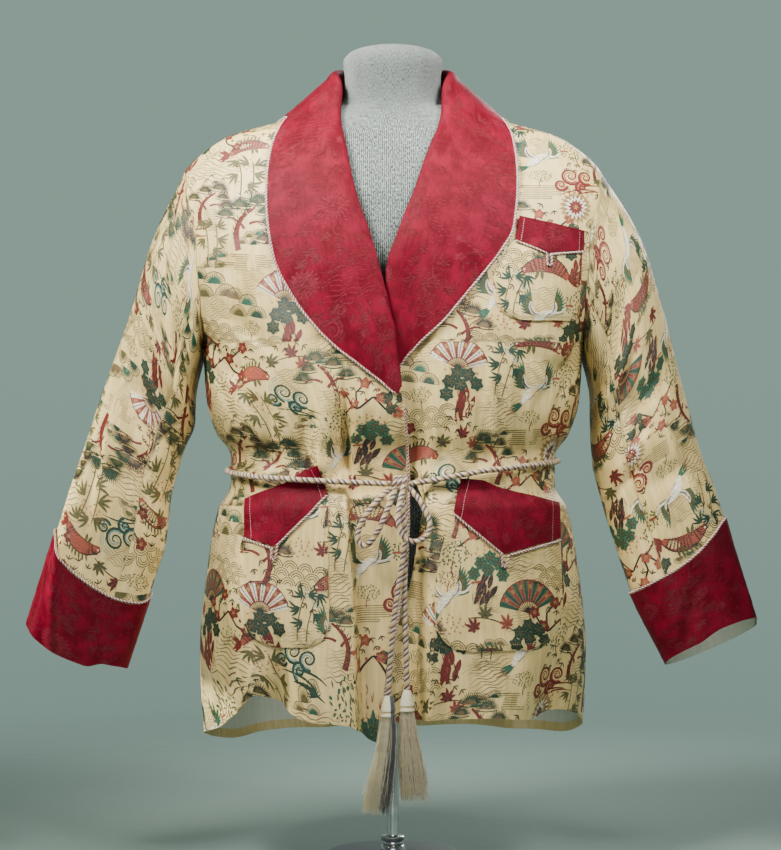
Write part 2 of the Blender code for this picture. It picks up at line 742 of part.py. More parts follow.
def front_edge(side, heights):
    """Sideways place of a front's edge: just inside the collar's roll line, then the free edge."""
    collar = COLLAR_RIGHT_ROWS if side < 0 else COLLAR_LEFT_ROWS
    free = EDGE_RIGHT_ROWS if side < 0 else EDGE_LEFT_ROWS
    roll = collar[::-1, [1, 0]]
    edge = np.vstack((free[free[:, 0] < roll[0, 0] - 0.005], roll))
    edge = edge.copy()
    edge[edge[:, 0] >= roll[0, 0], 1] += side * PANEL_EDGE_IN_COLLAR
    return through(edge, heights)[..., 0]


def hem_height(angle, height):
    """Height of a ring after the hem's rise and fall is shared out above it."""
    hem = through(HEM_ROWS, np.degrees(angle))[..., 0]
    fade = 1.0 - smoothstep(HEM_BASE, HEM_FADE_TOP, height)
    return height + (hem - HEM_BASE) * fade


def spread_columns(start, end, height, layer, count):
    """Angles from start to end, evenly spaced along the cloth and closer at the deep fold."""
    share = np.linspace(0.0, 1.0, 160)
    angle = start[:, None] + (end - start)[:, None] * share
    heights = np.broadcast_to(height[:, None], angle.shape)
    points = body(angle, heights, layer)
    steps = np.linalg.norm(np.diff(points, axis=1), axis=-1)
    if layer != "back":
        edge = through(LAP_FOLD_ROWS, heights)[:, :-1, 0] + 0.5 * LAP_FOLD_WALL
        if layer == "left":
            edge = 0.5 * (through(UNDERLAP_ROWS, heights)[:, :-1, 1] + UNDERLAP_FULL)
        steps = steps * (1.0 + 3.0 * np.exp(-((points[:, :-1, 0] - edge) / (2.0 * LAP_FOLD_WALL)) ** 2))
    places = np.concatenate((np.zeros((len(start), 1)), np.cumsum(steps, axis=1)), axis=1)
    places = places / places[:, -1:]
    even = np.linspace(0.0, 1.0, count)
    return np.array([np.interp(even, row, turn) for row, turn in zip(places, angle)])


def panel_grid(layer):
    """Angles and heights of a panel's points, a row for each ring from the hem up."""
    heights = panel_heights()
    _, _, behind, _ = np.moveaxis(through(BODY_ROWS, heights), -1, 0)
    seam = 0.5 * SEAM_GAP / behind * SEAM_SPREAD
    side_edge = 0.5 * math.pi - armhole_half_angle(heights) - seam
    if layer == "back":
        start = math.pi - side_edge
        angle = spread_columns(start, 2.0 * math.pi - start, heights, layer, BACK_COLUMNS)
    else:
        side = -1 if layer == "right" else 1
        start = angle_at(front_edge(side, heights), heights)
        angle = spread_columns(start, side * side_edge, heights, layer, FRONT_COLUMNS)
    return angle, hem_height(angle, np.broadcast_to(heights[:, None], angle.shape))


def body_panels():
    """The two fronts and the back."""
    meshes = {}
    for name, layer in (("front_right", "right"), ("front_left", "left"), ("back", "back")):
        angle, height = panel_grid(layer)
        outer = body(angle, height, layer)
        inner = raised(angle, height, layer, np.full(angle.shape, -CLOTH))
        meshes[name] = wall(name, outer, inner)
    return meshes


def on_panel(angle, height, layer, lift):
    """Places on the flat facets of a front panel, moved outwards; rows below the hem's fade are level."""
    grid_angle, grid_height = panel_grid(layer)
    points = body(grid_angle, grid_height, layer)
    order = 1 if layer == "left" else -1
    columns = np.arange(grid_angle.shape[1], dtype=float)
    rows = np.interp(height, panel_heights(), np.arange(len(grid_angle), dtype=float))
    low = np.minimum(rows.astype(int), len(grid_angle) - 2)
    result = np.zeros((*angle.shape, 3))
    for place in np.ndindex(angle.shape):
        ends = []
        for row in (low[place], low[place] + 1):
            column = np.interp(order * angle[place], order * grid_angle[row], columns)
            ends.append([np.interp(column, columns, points[row, :, axis]) for axis in range(3)])
        share = rows[place] - low[place]
        result[place] = np.array(ends[0]) * (1.0 - share) + np.array(ends[1]) * share
    return result + body_normal(angle, height, layer) * lift


def sleeve_rows(side):
    """The section table of one sleeve."""
    return SLEEVE_RIGHT_ROWS if side < 0 else SLEEVE_LEFT_ROWS


def armhole(side, turn):
    """Points of the armhole's edge: turn 0 is the shoulder, a quarter turn the front, a half the pit."""
    share = 0.5 + 0.5 * np.cos(turn)
    height = ARMHOLE_PIT + (ARMHOLE_TOP - ARMHOLE_PIT) * share
    swing = ARMHOLE_HALF_ANGLE * power(np.sin(turn), ARMHOLE_ROUNDNESS)
    return side * (0.5 * math.pi - swing), height


def sleeve_oval(side, turn, share, lift=0.0):
    """Ovals along the arm between the sleeve's outer and inner edges, with its folds."""
    columns = np.moveaxis(through(sleeve_rows(side), share), -1, 0)
    x_out, z_out, x_in, z_in, front, behind, lean, drop = columns
    across = power(np.cos(turn), 2.0 / SLEEVE_SQUARENESS)
    forward = power(np.sin(turn), 2.0 / SLEEVE_SQUARENESS)
    fold = np.zeros_like(turn)
    for place, middle, depth, half_length, half_turn in SLEEVE_FOLDS:
        away = np.degrees(np.angle(np.exp(1j * (turn - math.radians(middle)))))
        fold = fold + depth * np.exp(-((share - place) / half_length) ** 2 - (away / half_turn) ** 2)
    half_x = 0.5 * (x_out - x_in)
    half_z = 0.5 * (z_out - z_in)
    reach = np.hypot(half_x, half_z)
    grow = 1.0 + (lift + fold) / reach
    depth = np.where(forward > 0.0, front, behind) + lift + fold
    x = 0.5 * (x_out + x_in) + half_x * across * grow
    z = 0.5 * (z_out + z_in) + half_z * across * grow - drop * forward
    y = lean - depth * forward
    return np.stack((side * x, y, z), axis=-1)


def sleeve(side, turn, share, lift=0.0):
    """A sleeve's outer face: ovals along the arm that grow out of the armhole's edge."""
    turn, share = np.broadcast_arrays(np.asarray(turn, float), np.asarray(share, float))
    section = sleeve_oval(side, turn, share, lift)
    start_angle, start_height = armhole(side, turn)
    layer = np.where(np.sin(turn) > 0.0, 1, 0)[..., None]
    front_layer = "right" if side < 0 else "left"
    edge = np.where(layer == 1, body(start_angle, start_height, front_layer),
                    body(start_angle, start_height, "back"))
    away = unit(np.array((side * 0.75, 0.0, -0.66))) * ARMHOLE_GAP
    stay = 1.0 - smoothstep(0.0, SLEEVE_BLEND, share)[..., None]
    return section + (edge + away - sleeve_oval(side, turn, np.zeros_like(share))) * stay


def sleeve_normal(side, turn, share, lift=0.0):
    """Outward normal of a sleeve; at the armhole it is the body's own."""
    step_turn = 0.02
    step_share = 0.01
    around = sleeve(side, turn + step_turn, share, lift) - sleeve(side, turn - step_turn, share, lift)
    low = np.maximum(share - step_share, 0.0)
    along = sleeve(side, turn, share + step_share, lift) - sleeve(side, turn, low, lift)
    normal = unit(np.cross(around, along)) * side
    start_angle, start_height = armhole(side, turn)
    edge = body_normal(start_angle, start_height, "back")
    shoulder = smoothstep(-0.6, 0.2, np.cos(turn))
    follow = (shoulder * (1.0 - smoothstep(0.0, 0.06, share)))[..., None]
    return unit(normal + (edge - normal) * follow)


def sleeve_panels():
    """Upper and under pieces of both sleeves, split along the front and back seams."""
    meshes = {}
    share = SLEEVE_END * np.linspace(0.0, 1.0, SLEEVE_STATIONS)[:, None] ** 1.1
    step = math.pi / ARMHOLE_STEPS
    gap = 0.5 * SEAM_GAP / SLEEVE_SEAM_RADIUS
    pieces = {
        "upper": (SLEEVE_BACK_SEAM_STEP - 2 * ARMHOLE_STEPS, SLEEVE_FRONT_SEAM_STEP),
        "under": (SLEEVE_FRONT_SEAM_STEP, SLEEVE_BACK_SEAM_STEP),
    }
    for side, word in ((-1, "right"), (1, "left")):
        for piece, (first, last) in pieces.items():
            turns = step * np.arange(first, last + 1)
            turns[0] += gap
            turns[-1] -= gap
            turn, along = np.broadcast_arrays(turns[None, :], share)
            outer = sleeve(side, turn, along)
            inner = outer - sleeve_normal(side, turn, along) * CLOTH
            name = "sleeve_" + word + "_" + piece
            meshes[name] = wall(name, outer, inner)
    return meshes


def cuff_top(side, turn):
    """Share of the sleeve's length where the cuff's upper edge lies, least at the outer point."""
    away = np.abs(np.degrees(np.angle(np.exp(1j * turn))))
    return through(CUFF_TOP_RIGHT_ROWS if side < 0 else CUFF_TOP_LEFT_ROWS, away)[..., 0]


def cuff_end(side, turn):
    """Share of the sleeve's length where the cuff's lower edge lies; it rises a little in front."""
    away = np.degrees(np.angle(np.exp(1j * turn)))
    rows = CUFF_END_RIGHT_ROWS if side < 0 else CUFF_END_LEFT_ROWS
    return through(rows, np.clip(away, 0.0, 180.0))[..., 0]


def cuff(side, turn, share, extra=0.0):
    """A cuff's outer face, outside the sleeve and a little wider towards its top."""
    lift = CUFF_LIFT + CUFF_FLARE * smoothstep(1.0, 0.84, share) + extra
    return sleeve(side, turn, share, lift)


def cuffs():
    """Both turned-back cuffs."""
    meshes = {}
    for side, word in ((-1, "right"), (1, "left")):
        turn = np.linspace(0.0, 2.0 * math.pi, CUFF_COLUMNS, endpoint=False)[None, :]
        top = cuff_top(side, turn)
        share = top + (cuff_end(side, turn) - top) * np.linspace(0.0, 1.0, CUFF_STATIONS)[:, None]
        turn = np.broadcast_to(turn, share.shape)
        outer = cuff(side, turn, share)
        inner = cuff(side, turn, share, -CLOTH)
        meshes["cuff_" + word] = wall("cuff_" + word, outer, inner, around=True)
    return meshes


def collar_surface(side, place, section):
    """The collar's middle surface: a section carried from the centre back down to the lapel's tip.

    Round the neck its fall goes straight from the crest to the outer edge, over the hollow where the
    neck meets the shoulder.
    """
    rows = collar_rows(side)
    steps = np.linspace(0.0, 1.0, len(rows))
    table = np.column_stack((steps, rows))
    roll_angle, roll_height, outer_angle, outer_height = np.moveaxis(through(table, place), -1, 0)
    back_end = (len(COLLAR_BACK_ROWS) - 1) / (len(rows) - 1)
    behind = 1.0 - smoothstep(back_end, back_end + 0.14, place)
    stand = COLLAR_STAND_FRONT + (COLLAR_STAND_BACK - COLLAR_STAND_FRONT) * behind
    shares = np.interp(section, np.arange(len(COLLAR_SECTION)), COLLAR_SECTION[:, 0])
    offset = np.interp(section, np.arange(len(COLLAR_SECTION)), COLLAR_SECTION[:, 1])
    first = np.clip(1.0 - section, 0.0, 1.0)
    share = shares + stand * first
    angle = roll_angle + (outer_angle - roll_angle) * share
    height = roll_height + (outer_height - roll_height) * share
    layer = "right" if side < 0 else "left"
    points = raised(angle, height, layer, offset)
    crest_angle = roll_angle + (outer_angle - roll_angle) * COLLAR_CREST_SHARE
    crest_height = roll_height + (outer_height - roll_height) * COLLAR_CREST_SHARE
    crest = raised(crest_angle, crest_height, layer, np.full(place.shape, COLLAR_SECTION[4, 1]))
    edge = raised(outer_angle, outer_height, layer, np.full(place.shape, COLLAR_SECTION[6, 1]))
    fall = np.clip((share - COLLAR_CREST_SHARE) / (1.0 - COLLAR_CREST_SHARE), 0.0, 1.0)[..., None]
    bridge = (1.0 - smoothstep(COLLAR_BRIDGE_END, COLLAR_BRIDGE_END + 0.14, place)) * (section > 4.0)
    return points + bridge[..., None] * (crest + (edge - crest) * fall - points)


def collar_halves():
    """Both halves of the shawl collar, seamed at the centre back."""
    meshes = {}
    for side, word in ((-1, "right"), (1, "left")):
        place = np.linspace(COLLAR_SEAM_SHARE, 1.0, COLLAR_STATIONS)[:, None]
        section = np.arange(len(COLLAR_SECTION), dtype=float)[None, :]
        place, section = np.broadcast_arrays(place, section)
        middle = collar_surface(side, place, section)
        normal = unit(np.cross(np.gradient(middle, axis=0), np.gradient(middle, axis=1)))
        outer = middle + normal * (0.5 * COLLAR_CLOTH)
        inner = middle - normal * (0.5 * COLLAR_CLOTH)
        meshes["collar_" + word] = wall("collar_" + word, outer, inner)
    return meshes


def patch(name, sideways, height, layer, lift):
    """A piece that lies on a front: a wall lifted off the places given as seen from the front."""
    angle = angle_at(sideways, height)
    inner = on_panel(angle, height, layer, lift)
    outer = on_panel(angle, height, layer, lift + PATCH_CLOTH)
    return wall(name, outer, inner)


def pockets():
    """Patch pockets and the pointed bands across their tops."""
    meshes = {}
    bodies = {
        "pocket_lower_right": (POCKET_LOWER_RIGHT_ROWS, "right"),
        "pocket_lower_left": (POCKET_LOWER_LEFT_ROWS, "left"),
        "pocket_chest": (POCKET_CHEST_ROWS, "left"),
    }
    for name, (rows, layer) in bodies.items():
        share = np.linspace(0.0, 1.0, POCKET_COLUMNS)[None, :]
        sideways = rows[:, 1:2] + (rows[:, 2:3] - rows[:, 1:2]) * share
        height = np.broadcast_to(rows[:, 0:1], sideways.shape)
        meshes[name] = patch(name, sideways, height, layer, PATCH_LIFT)
    for name, (top, low, layer) in bands().items():
        share = np.linspace(0.0, 1.0, BAND_COLUMNS)
        upper = along_corners(top, share)
        lower = along_corners(low, share)
        bend = np.clip((BAND_BEND - lower[:, 1]) / (upper[:, 1] - lower[:, 1]), 0.2, 0.8)
        bend = np.where(upper[:, 1] < HEM_FADE_TOP + BAND_BEND, bend, 0.5)
        rise = np.stack((0.0 * bend, 0.5 * bend, bend, 0.5 + 0.5 * bend, 1.0 + 0.0 * bend))[..., None]
        places = lower[None] + (upper - lower)[None] * rise
        meshes[name] = patch(name, places[..., 0], places[..., 1], layer, BAND_LIFTS[name])
    return meshes


def bands():
    """The pocket bands' edges and the front that each lies on."""
    return {
        "band_lower_right": (*BAND_LOWER_RIGHT, "right"),
        "band_lower_left": (*BAND_LOWER_LEFT, "left"),
        "band_chest": (*BAND_CHEST, "left"),
    }


def pipings():
    """Corded trim: collar edges, the lapping front edge, the bands with their loops, the cuff tops."""
    meshes = {}
    sides = 4
    clear = PIPING_RADIUS + SEAM_GAP
    for side, word in ((-1, "right"), (1, "left")):
        place = np.linspace(COLLAR_SEAM_SHARE, 1.0, COLLAR_STATIONS)[:-1]
        last = np.full(place.shape, len(COLLAR_SECTION) - 1.0)
        edge = collar_surface(side, place, last)
        path = edge + unit(edge - collar_surface(side, place, last - 0.1)) * (clear + 1.2 * MM)
        meshes["piping_collar_" + word] = tube("piping_collar_" + word, path, PIPING_RADIUS, sides)
        turn = np.linspace(0.0, 2.0 * math.pi, CUFF_COLUMNS + 1)[:-1] + 0.02
        share = cuff_top(side, turn) - (clear + 0.6 * MM) / 0.64
        path = cuff(side, turn, share, -0.5 * CLOTH)
        meshes["piping_cuff_" + word] = tube("piping_cuff_" + word, path, PIPING_RADIUS, sides)
    height = np.linspace(0.574, 0.172, 22)
    sideways = through(EDGE_RIGHT_ROWS, height)[..., 0] + clear + 0.3 * MM
    path = raised(angle_at(sideways, height), height, "right", np.full(height.shape, -0.5 * CLOTH))
    meshes["piping_front_edge"] = tube("piping_front_edge", path, PIPING_RADIUS, sides)
    for name, (_, low, layer) in bands().items():
        low = np.array(low)
        share = np.linspace(0.0, 1.0, 7)
        first = low[0] + (low[1] - low[0]) * share[:, None]
        second = low[1] + (low[2] - low[1]) * share[:, None]
        tip = low[1]
        width = np.array((LOOP_HALF_WIDTH, 0.0))
        drop = np.array((0.0, -LOOP_DROP))
        loop = np.array((tip - width + 0.35 * drop, tip - width + 0.85 * drop, tip + drop,
                         tip + width + 0.85 * drop, tip + width + 0.35 * drop))
        below = np.array((0.0, -(clear + BAND_PIPING_GAPS[name])))
        flat = np.vstack((first[:-1] + below, loop, second[1:] + below))
        angle = angle_at(flat[:, 0], flat[:, 1])
        lift = np.full(len(flat), BAND_LIFTS[name] + PIPING_RADIUS - 0.6 * MM)
        path = on_panel(angle, flat[:, 1], layer, lift[:, None])
        trim = name.replace("band", "piping_band")
        meshes[trim] = tube(trim, path, PIPING_RADIUS, sides)
    return meshes


def front_place(sideways, height, distance):
    """A place in front of the jacket's unfolded ring, as seen from the front."""
    half_width, front, _, squareness = np.moveaxis(through(BODY_ROWS, height), -1, 0)
    facing = np.cos(np.arcsin(power(np.clip(sideways / half_width, -1.0, 1.0), squareness / 2.0)))
    y = -front * power(facing, 2.0 / squareness) - distance
    return np.stack((sideways, y, height), axis=-1)


def belt_waist_route():
    """The cord round the waist, resting on the gathers, from one side of the knot to the other."""
    angle = np.linspace(BELT_KNOT_TURN + BELT_KNOT_GAP, BELT_KNOT_TURN + 2.0 * math.pi - BELT_KNOT_GAP,
                        BELT_WAIST_POINTS - 4)
    turn = np.degrees(np.angle(np.exp(1j * angle)))
    height = through(BELT_WAIST_ROWS, turn)[..., 0]
    half_width, front, behind, squareness = np.moveaxis(through(BODY_ROWS, height), -1, 0)
    depth = np.where(np.cos(angle) > 0.0, front, behind)
    out = BELT_RADIUS + BELT_CLEARANCE
    for place, half in BELT_OVER_BANDS:
        away = np.abs(turn - place) / half
        out = out + BELT_OVER_BAND_LIFT * (1.0 - smoothstep(0.6, 1.5, away))
    x = (half_width + out) * power(np.sin(angle), 2.0 / squareness)
    y = -(depth + out) * power(np.cos(angle), 2.0 / squareness)
    return np.stack((x, y, height), axis=-1)


def knot_centre():
    """Middle of the knot, in front of the waist."""
    return front_place(*[np.array(value) for value in KNOT_CENTRE])


def knot_exit(way):
    """Where a stretch of cord meets the knot, a seam's gap off its round face."""
    way = unit(np.array(way))
    reach = 1.0 / np.linalg.norm(way / np.array(KNOT_HALF_SIZES))
    return knot_centre() + way * (reach + SEAM_GAP)


def knot_straight(way):
    """The next place along a stretch, which leaves the knot squarely."""
    return knot_exit(way) + unit(np.array(way)) * KNOT_STRAIGHT


def belt_routes():
    """Centre lines of the belt's stretches."""
    leave, back = KNOT_WAYS["belt_waist"]
    routes = {"belt_waist": np.vstack((knot_exit(leave), knot_straight(leave), belt_waist_route(),
                                       knot_straight(back), knot_exit(back)))}
    stretches = {
        "belt_bow_right": (BOW_RIGHT_ROUTE, BOW_POINTS),
        "belt_bow_left": (BOW_LEFT_ROUTE, BOW_POINTS),
        "belt_end_right": (END_RIGHT_ROUTE, END_POINTS),
        "belt_end_left": (END_LEFT_ROUTE, END_POINTS),
    }
    for name, (points, count) in stretches.items():
        leave, back = KNOT_WAYS[name]
        places = [knot_exit(leave), *front_place(*np.array(points).T)]
        if back is not None:
            places.append(knot_exit(back))
        path = route(places, count)
        path[1] = knot_straight(leave)
        if back is not None:
            path[-2] = knot_straight(back)
        routes[name] = path
    return routes


def knot_mesh():
    """The belt's knot: a short squashed ball."""
    half_width, half_depth, half_height = KNOT_HALF_SIZES
    columns = 12
    turn = np.linspace(0.0, 2.0 * math.pi, columns, endpoint=False)
    rows = []
    for tilt in np.linspace(-0.44 * math.pi, 0.44 * math.pi, 6):
        x = half_width * math.sin(tilt)
        reach = math.cos(tilt)
        ring = np.stack((np.full(columns, x), half_depth * reach * np.cos(turn),
                         half_height * reach * np.sin(turn)), axis=-1)
        rows.append(knot_centre() + ring)
    points = np.concatenate(rows)
    faces = [tuple(range(columns)), tuple(range(len(points) - columns, len(points)))]
    for row in range(len(rows) - 1):
        for column in range(columns):
            a = row * columns + column
            b = row * columns + (column + 1) % columns
            faces.append((a, b, b + columns, a + columns))
    return mesh_from("belt_knot", points, faces)


def tassel_mesh(name, top, end):
    """A tassel: a bound head whose underside grows into a skirt of strands."""
    work = bmesh.new()
    profile = ((0.0, 0.45), (-0.10, 0.80), (-0.45, 1.0), (-0.74, 0.95), (-0.80, 0.82), (-0.88, 0.95), (-1.0, 1.0))
    turn = np.linspace(0.0, 2.0 * math.pi, TASSEL_SIDES, endpoint=False)
    rings = []
    for drop, width in profile:
        ring = []
        for angle in turn:
            x = top[0] + TASSEL_HEAD_RADIUS * width * math.cos(angle)
            y = top[1] + TASSEL_HEAD_RADIUS * width * math.sin(angle)
            ring.append(work.verts.new((x, y, top[2] + drop * TASSEL_HEAD_HEIGHT)))
        rings.append(ring)
    floor = top[2] - TASSEL_HEAD_HEIGHT
    for width in (0.68, 0.36):
        ring = []
        for angle in turn:
            x = top[0] + TASSEL_HEAD_RADIUS * width * math.cos(angle)
            y = top[1] + TASSEL_HEAD_RADIUS * width * math.sin(angle)
            ring.append(work.verts.new((x, y, floor)))
        rings.append(ring)
    work.faces.new(rings[0])
    roots = []
    for number in range(len(rings) - 1):
        for column in range(TASSEL_SIDES):
            after = (column + 1) % TASSEL_SIDES
            corners = (rings[number][column], rings[number][after],
                       rings[number + 1][after], rings[number + 1][column])
            face = work.faces.new(corners)
            if number >= len(profile) - 1:
                roots.append(face)
    centre = work.verts.new((top[0], top[1], floor))
    for column in range(TASSEL_SIDES):
        after = (column + 1) % TASSEL_SIDES
        roots.append(work.faces.new((rings[-1][column], rings[-1][after], centre)))
    bmesh.ops.recalc_face_normals(work, faces=work.faces)
    bmesh.ops.inset_individual(work, faces=roots, thickness=0.00022, depth=0.0, use_even_offset=True)
    length = floor - end[1]
    for step in range(TASSEL_STEPS):
        made = bmesh.ops.extrude_discrete_faces(work, faces=roots)
        roots = made["faces"]
        before = step / TASSEL_STEPS
        after = (step + 1) / TASSEL_STEPS
        for face in roots:
            middle = face.calc_center_median()
            for corner in face.verts:
                corner.co = strand_place(corner.co, middle, top, end, floor, length, before, after)
    mesh = bpy.data.meshes.new(name)
    work.to_mesh(mesh)
    work.free()
    return mesh


def strand_place(corner, middle, top, end, floor, length, before, after):
    """Move a strand's section one step down, out from the tassel's middle and over to its end."""
    spread_before = 1.0 + (TASSEL_SPREAD - 1.0) * before
    spread = 1.0 + (TASSEL_SPREAD - 1.0) * after
    lean_before = (end[0] - top[0]) * before ** 1.5
    lean = (end[0] - top[0]) * after ** 1.5
    x_root = (middle[0] - top[0] - lean_before) / spread_before
    y_root = (middle[1] - top[1]) / spread_before
    taper = 0.93
    uneven = 1.0 + 0.05 * math.sin(900.0 * x_root + 1300.0 * y_root) * after
    x = top[0] + lean + x_root * spread + (corner[0] - middle[0]) * taper
    y = top[1] + y_root * spread + (corner[1] - middle[1]) * taper
    return (x, y, floor - length * after * uneven)


def form_rows():
    """Rings of the dress form, with the shoulders that the jacket rests on."""
    heights = np.array(HIGH_HEIGHTS)
    half_width, front, behind, _ = np.moveaxis(through(BODY_ROWS, heights), -1, 0)
    shoulders = np.column_stack((
        heights - SHOULDER_SEAT,
        np.minimum(half_width, FORM_SHOULDER_HALF_WIDTH),
        front - SHOULDER_FRONT_INSET,
        behind - SHOULDER_BACK_INSET,
    ))
    rows = np.vstack((FORM_ROWS, shoulders))
    return rows[np.argsort(rows[:, 0])]


def stand_meshes():
    """The dress form, its pole with a fitting, and the base."""
    underside = FORM_ROWS[0, 0]
    pole_foot = FITTING_TOP + SEAM_GAP
    pole_rows = [(height, POLE_RADIUS, POLE_RADIUS, POLE_RADIUS)
                 for height in (pole_foot, underside - SEAM_GAP)]
    ring_rows = []
    for low, high, radius in ((0.0, 0.35, 1.0), (0.38, 0.62, 0.86), (0.65, 1.0, 1.0)):
        for share in (low, high):
            height = BASE_HEIGHT + SEAM_GAP + (FITTING_TOP - BASE_HEIGHT - SEAM_GAP) * share
            ring_rows.append((height, *(radius * FITTING_RADIUS,) * 3))
    base_rows = [(height, *(radius,) * 3) for height, radius in (
        (0.0, BASE_RADIUS),
        (BASE_HEIGHT - BASE_EDGE, BASE_RADIUS),
        (BASE_HEIGHT, BASE_RADIUS - BASE_EDGE),
    )]
    return {
        "dress_form": turned("dress_form", form_rows(), FORM_COLUMNS),
        "pole": turned("pole", pole_rows, 16),
        "pole_fitting": turned("pole_fitting", ring_rows, 16),
        "base": turned("base", base_rows, 40),
    }


def build():
    """Make every piece under one root empty."""
    for item in list(bpy.data.objects):
        bpy.data.objects.remove(item, do_unlink=True)
    root = bpy.data.objects.new("jacket_root", None)
    bpy.context.collection.objects.link(root)
    satin = principled("brocade_satin", (0.72, 0.60, 0.38), 0.42)
    damask = principled("damask", (0.37, 0.026, 0.048), 0.48)
    piping = principled("piping", (0.50, 0.33, 0.26), 0.6)
    cord = principled("belt_cord", (0.56, 0.45, 0.36), 0.6)
    jersey = principled("jersey", (0.34, 0.39, 0.38), 0.9)
    chrome = principled("chrome", (0.80, 0.80, 0.80), 0.12, 1.0)
    slate = principled("slate_metal", (0.10, 0.13, 0.15), 0.45, 0.3)
    groups = (
        (body_panels(), satin),
        (sleeve_panels(), satin),
        (cuffs(), damask),
        (collar_halves(), damask),
        (pipings(), piping),
    )
    for meshes, material in groups:
        for name, mesh in meshes.items():
            add_object(name, mesh, material, root)
    for name, mesh in pockets().items():
        add_object(name, mesh, damask if name.startswith("band") else satin, root)
    routes = belt_routes()
    for name, points in routes.items():
        add_object(name, bevelled_curve(name, points, BELT_RADIUS), cord, root)
    add_object("belt_knot", knot_mesh(), cord, root)
    for word, end in (("right", TASSEL_RIGHT_END), ("left", TASSEL_LEFT_END)):
        top = routes["belt_end_" + word][-1] - np.array((0.0, 0.0, SEAM_GAP))
        add_object("tassel_" + word, tassel_mesh("tassel_" + word, top, end), cord, root)
    finishes = {"dress_form": jersey, "base": slate}
    for name, mesh in stand_meshes().items():
        add_object(name, mesh, finishes.get(name, chrome), root)


build()
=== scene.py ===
# %% [markdown]
# # A smoking jacket on a dress form
# This lesson dresses the plain solids of a shawl-collared jacket. Each cloth piece is drawn
# again on a fine grid, from the same rings and edges as its solid, and gets its creases, weave,
# trim and woven motifs. The solids are the frame that everything is fitted to, and the finer
# pieces take their place.

# %% Load the frame
import math
from collections import namedtuple

import bpy
import numpy as np
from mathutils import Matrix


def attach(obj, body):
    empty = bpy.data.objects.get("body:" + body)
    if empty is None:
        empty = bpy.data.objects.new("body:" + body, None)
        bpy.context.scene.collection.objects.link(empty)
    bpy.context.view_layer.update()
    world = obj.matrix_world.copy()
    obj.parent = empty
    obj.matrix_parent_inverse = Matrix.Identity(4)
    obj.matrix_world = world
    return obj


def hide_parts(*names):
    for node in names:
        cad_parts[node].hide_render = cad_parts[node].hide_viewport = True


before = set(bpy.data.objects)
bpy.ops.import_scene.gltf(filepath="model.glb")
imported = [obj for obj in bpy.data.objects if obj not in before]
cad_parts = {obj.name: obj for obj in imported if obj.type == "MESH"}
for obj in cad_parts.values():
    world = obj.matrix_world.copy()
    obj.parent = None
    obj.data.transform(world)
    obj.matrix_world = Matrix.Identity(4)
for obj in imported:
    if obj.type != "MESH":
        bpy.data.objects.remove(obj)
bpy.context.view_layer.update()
MM = 0.001
print("nodes in the frame:", len(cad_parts))

# %% [markdown]
# ## Camera
# The camera looks straight at the jacket's front from a little over three metres, just above the
# height of the waist. A long lens keeps the sleeves and the collar in proportion.

# %% Camera
CAMERA_PLACE = (-0.003, -3.2, 0.551)
CAMERA_LENS = 106.7

camera_data = bpy.data.cameras.new("camera")
camera_data.lens = CAMERA_LENS
camera_data.sensor_fit = "VERTICAL"
camera_data.sensor_height = 36.0
camera = bpy.data.objects.new("camera", camera_data)
camera.location = CAMERA_PLACE
camera.rotation_euler = (math.pi / 2, 0.0, 0.0)
bpy.context.collection.objects.link(camera)
bpy.context.scene.camera = camera
print("camera at", CAMERA_PLACE)

# %% [markdown]
# ## Curves through tables
# Every form here is a short table of sections with a smooth curve through its rows. The helpers
# below read such tables, and they work on whole arrays at once.


# %% Curves through tables
def smoothstep(low, high, value):
    """Rise smoothly from 0 at low to 1 at high."""
    share = np.clip((value - low) / (high - low), 0.0, 1.0)
    return share * share * (3.0 - 2.0 * share)


def shares(count):
    """Evenly spaced shares from 0 to 1."""
    return np.linspace(0.0, 1.0, count)


def circle(turn):
    """Points of a circle of radius 1 at these turns."""
    return np.stack((np.cos(turn), np.sin(turn)), axis=-1)


def wrapped(turn):
    """A turn in degrees, between -180 and 180."""
    return np.degrees(np.angle(np.exp(1j * turn)))


def through(rows, value):
    """Read a table's other columns at a value of its first column.

    Between two rows the curve is a cubic whose slopes are the harmonic mean of the slopes on
    both sides, so that it never overshoots its rows.
    """
    knots = rows[:, 0]
    values = rows[:, 1:]
    step = np.diff(knots)[:, None]
    rise = np.diff(values, axis=0) / step
    slope = np.zeros_like(values)
    product = rise[1:] * rise[:-1]
    total = rise[1:] + rise[:-1]
    mean = 2.0 * product / np.where(np.abs(total) < 1e-12, 1.0, total)
    slope[1:-1] = np.where(product > 0.0, mean, 0.0)
    slope[0] = rise[0]
    slope[-1] = rise[-1]
    value = np.clip(np.asarray(value, dtype=float), knots[0], knots[-1])
    index = np.clip(np.searchsorted(knots, value, side="right") - 1, 0, len(knots) - 2)
    width = step[index, 0][..., None]
    t = (value - knots[index])[..., None] / width
    start = values[index]
    end = values[index + 1]
    start_slope = slope[index] * width
    end_slope = slope[index + 1] * width
    bend = (2.0 * start - 2.0 * end + start_slope + end_slope) * t
    bend = bend + 3.0 * end - 3.0 * start - 2.0 * start_slope - end_slope
    return (bend * t + start_slope) * t + start


def read_columns(rows, value):
    """Read a table in the same way, as one array for each of its other columns."""
    return np.moveaxis(through(rows, value), -1, 0)


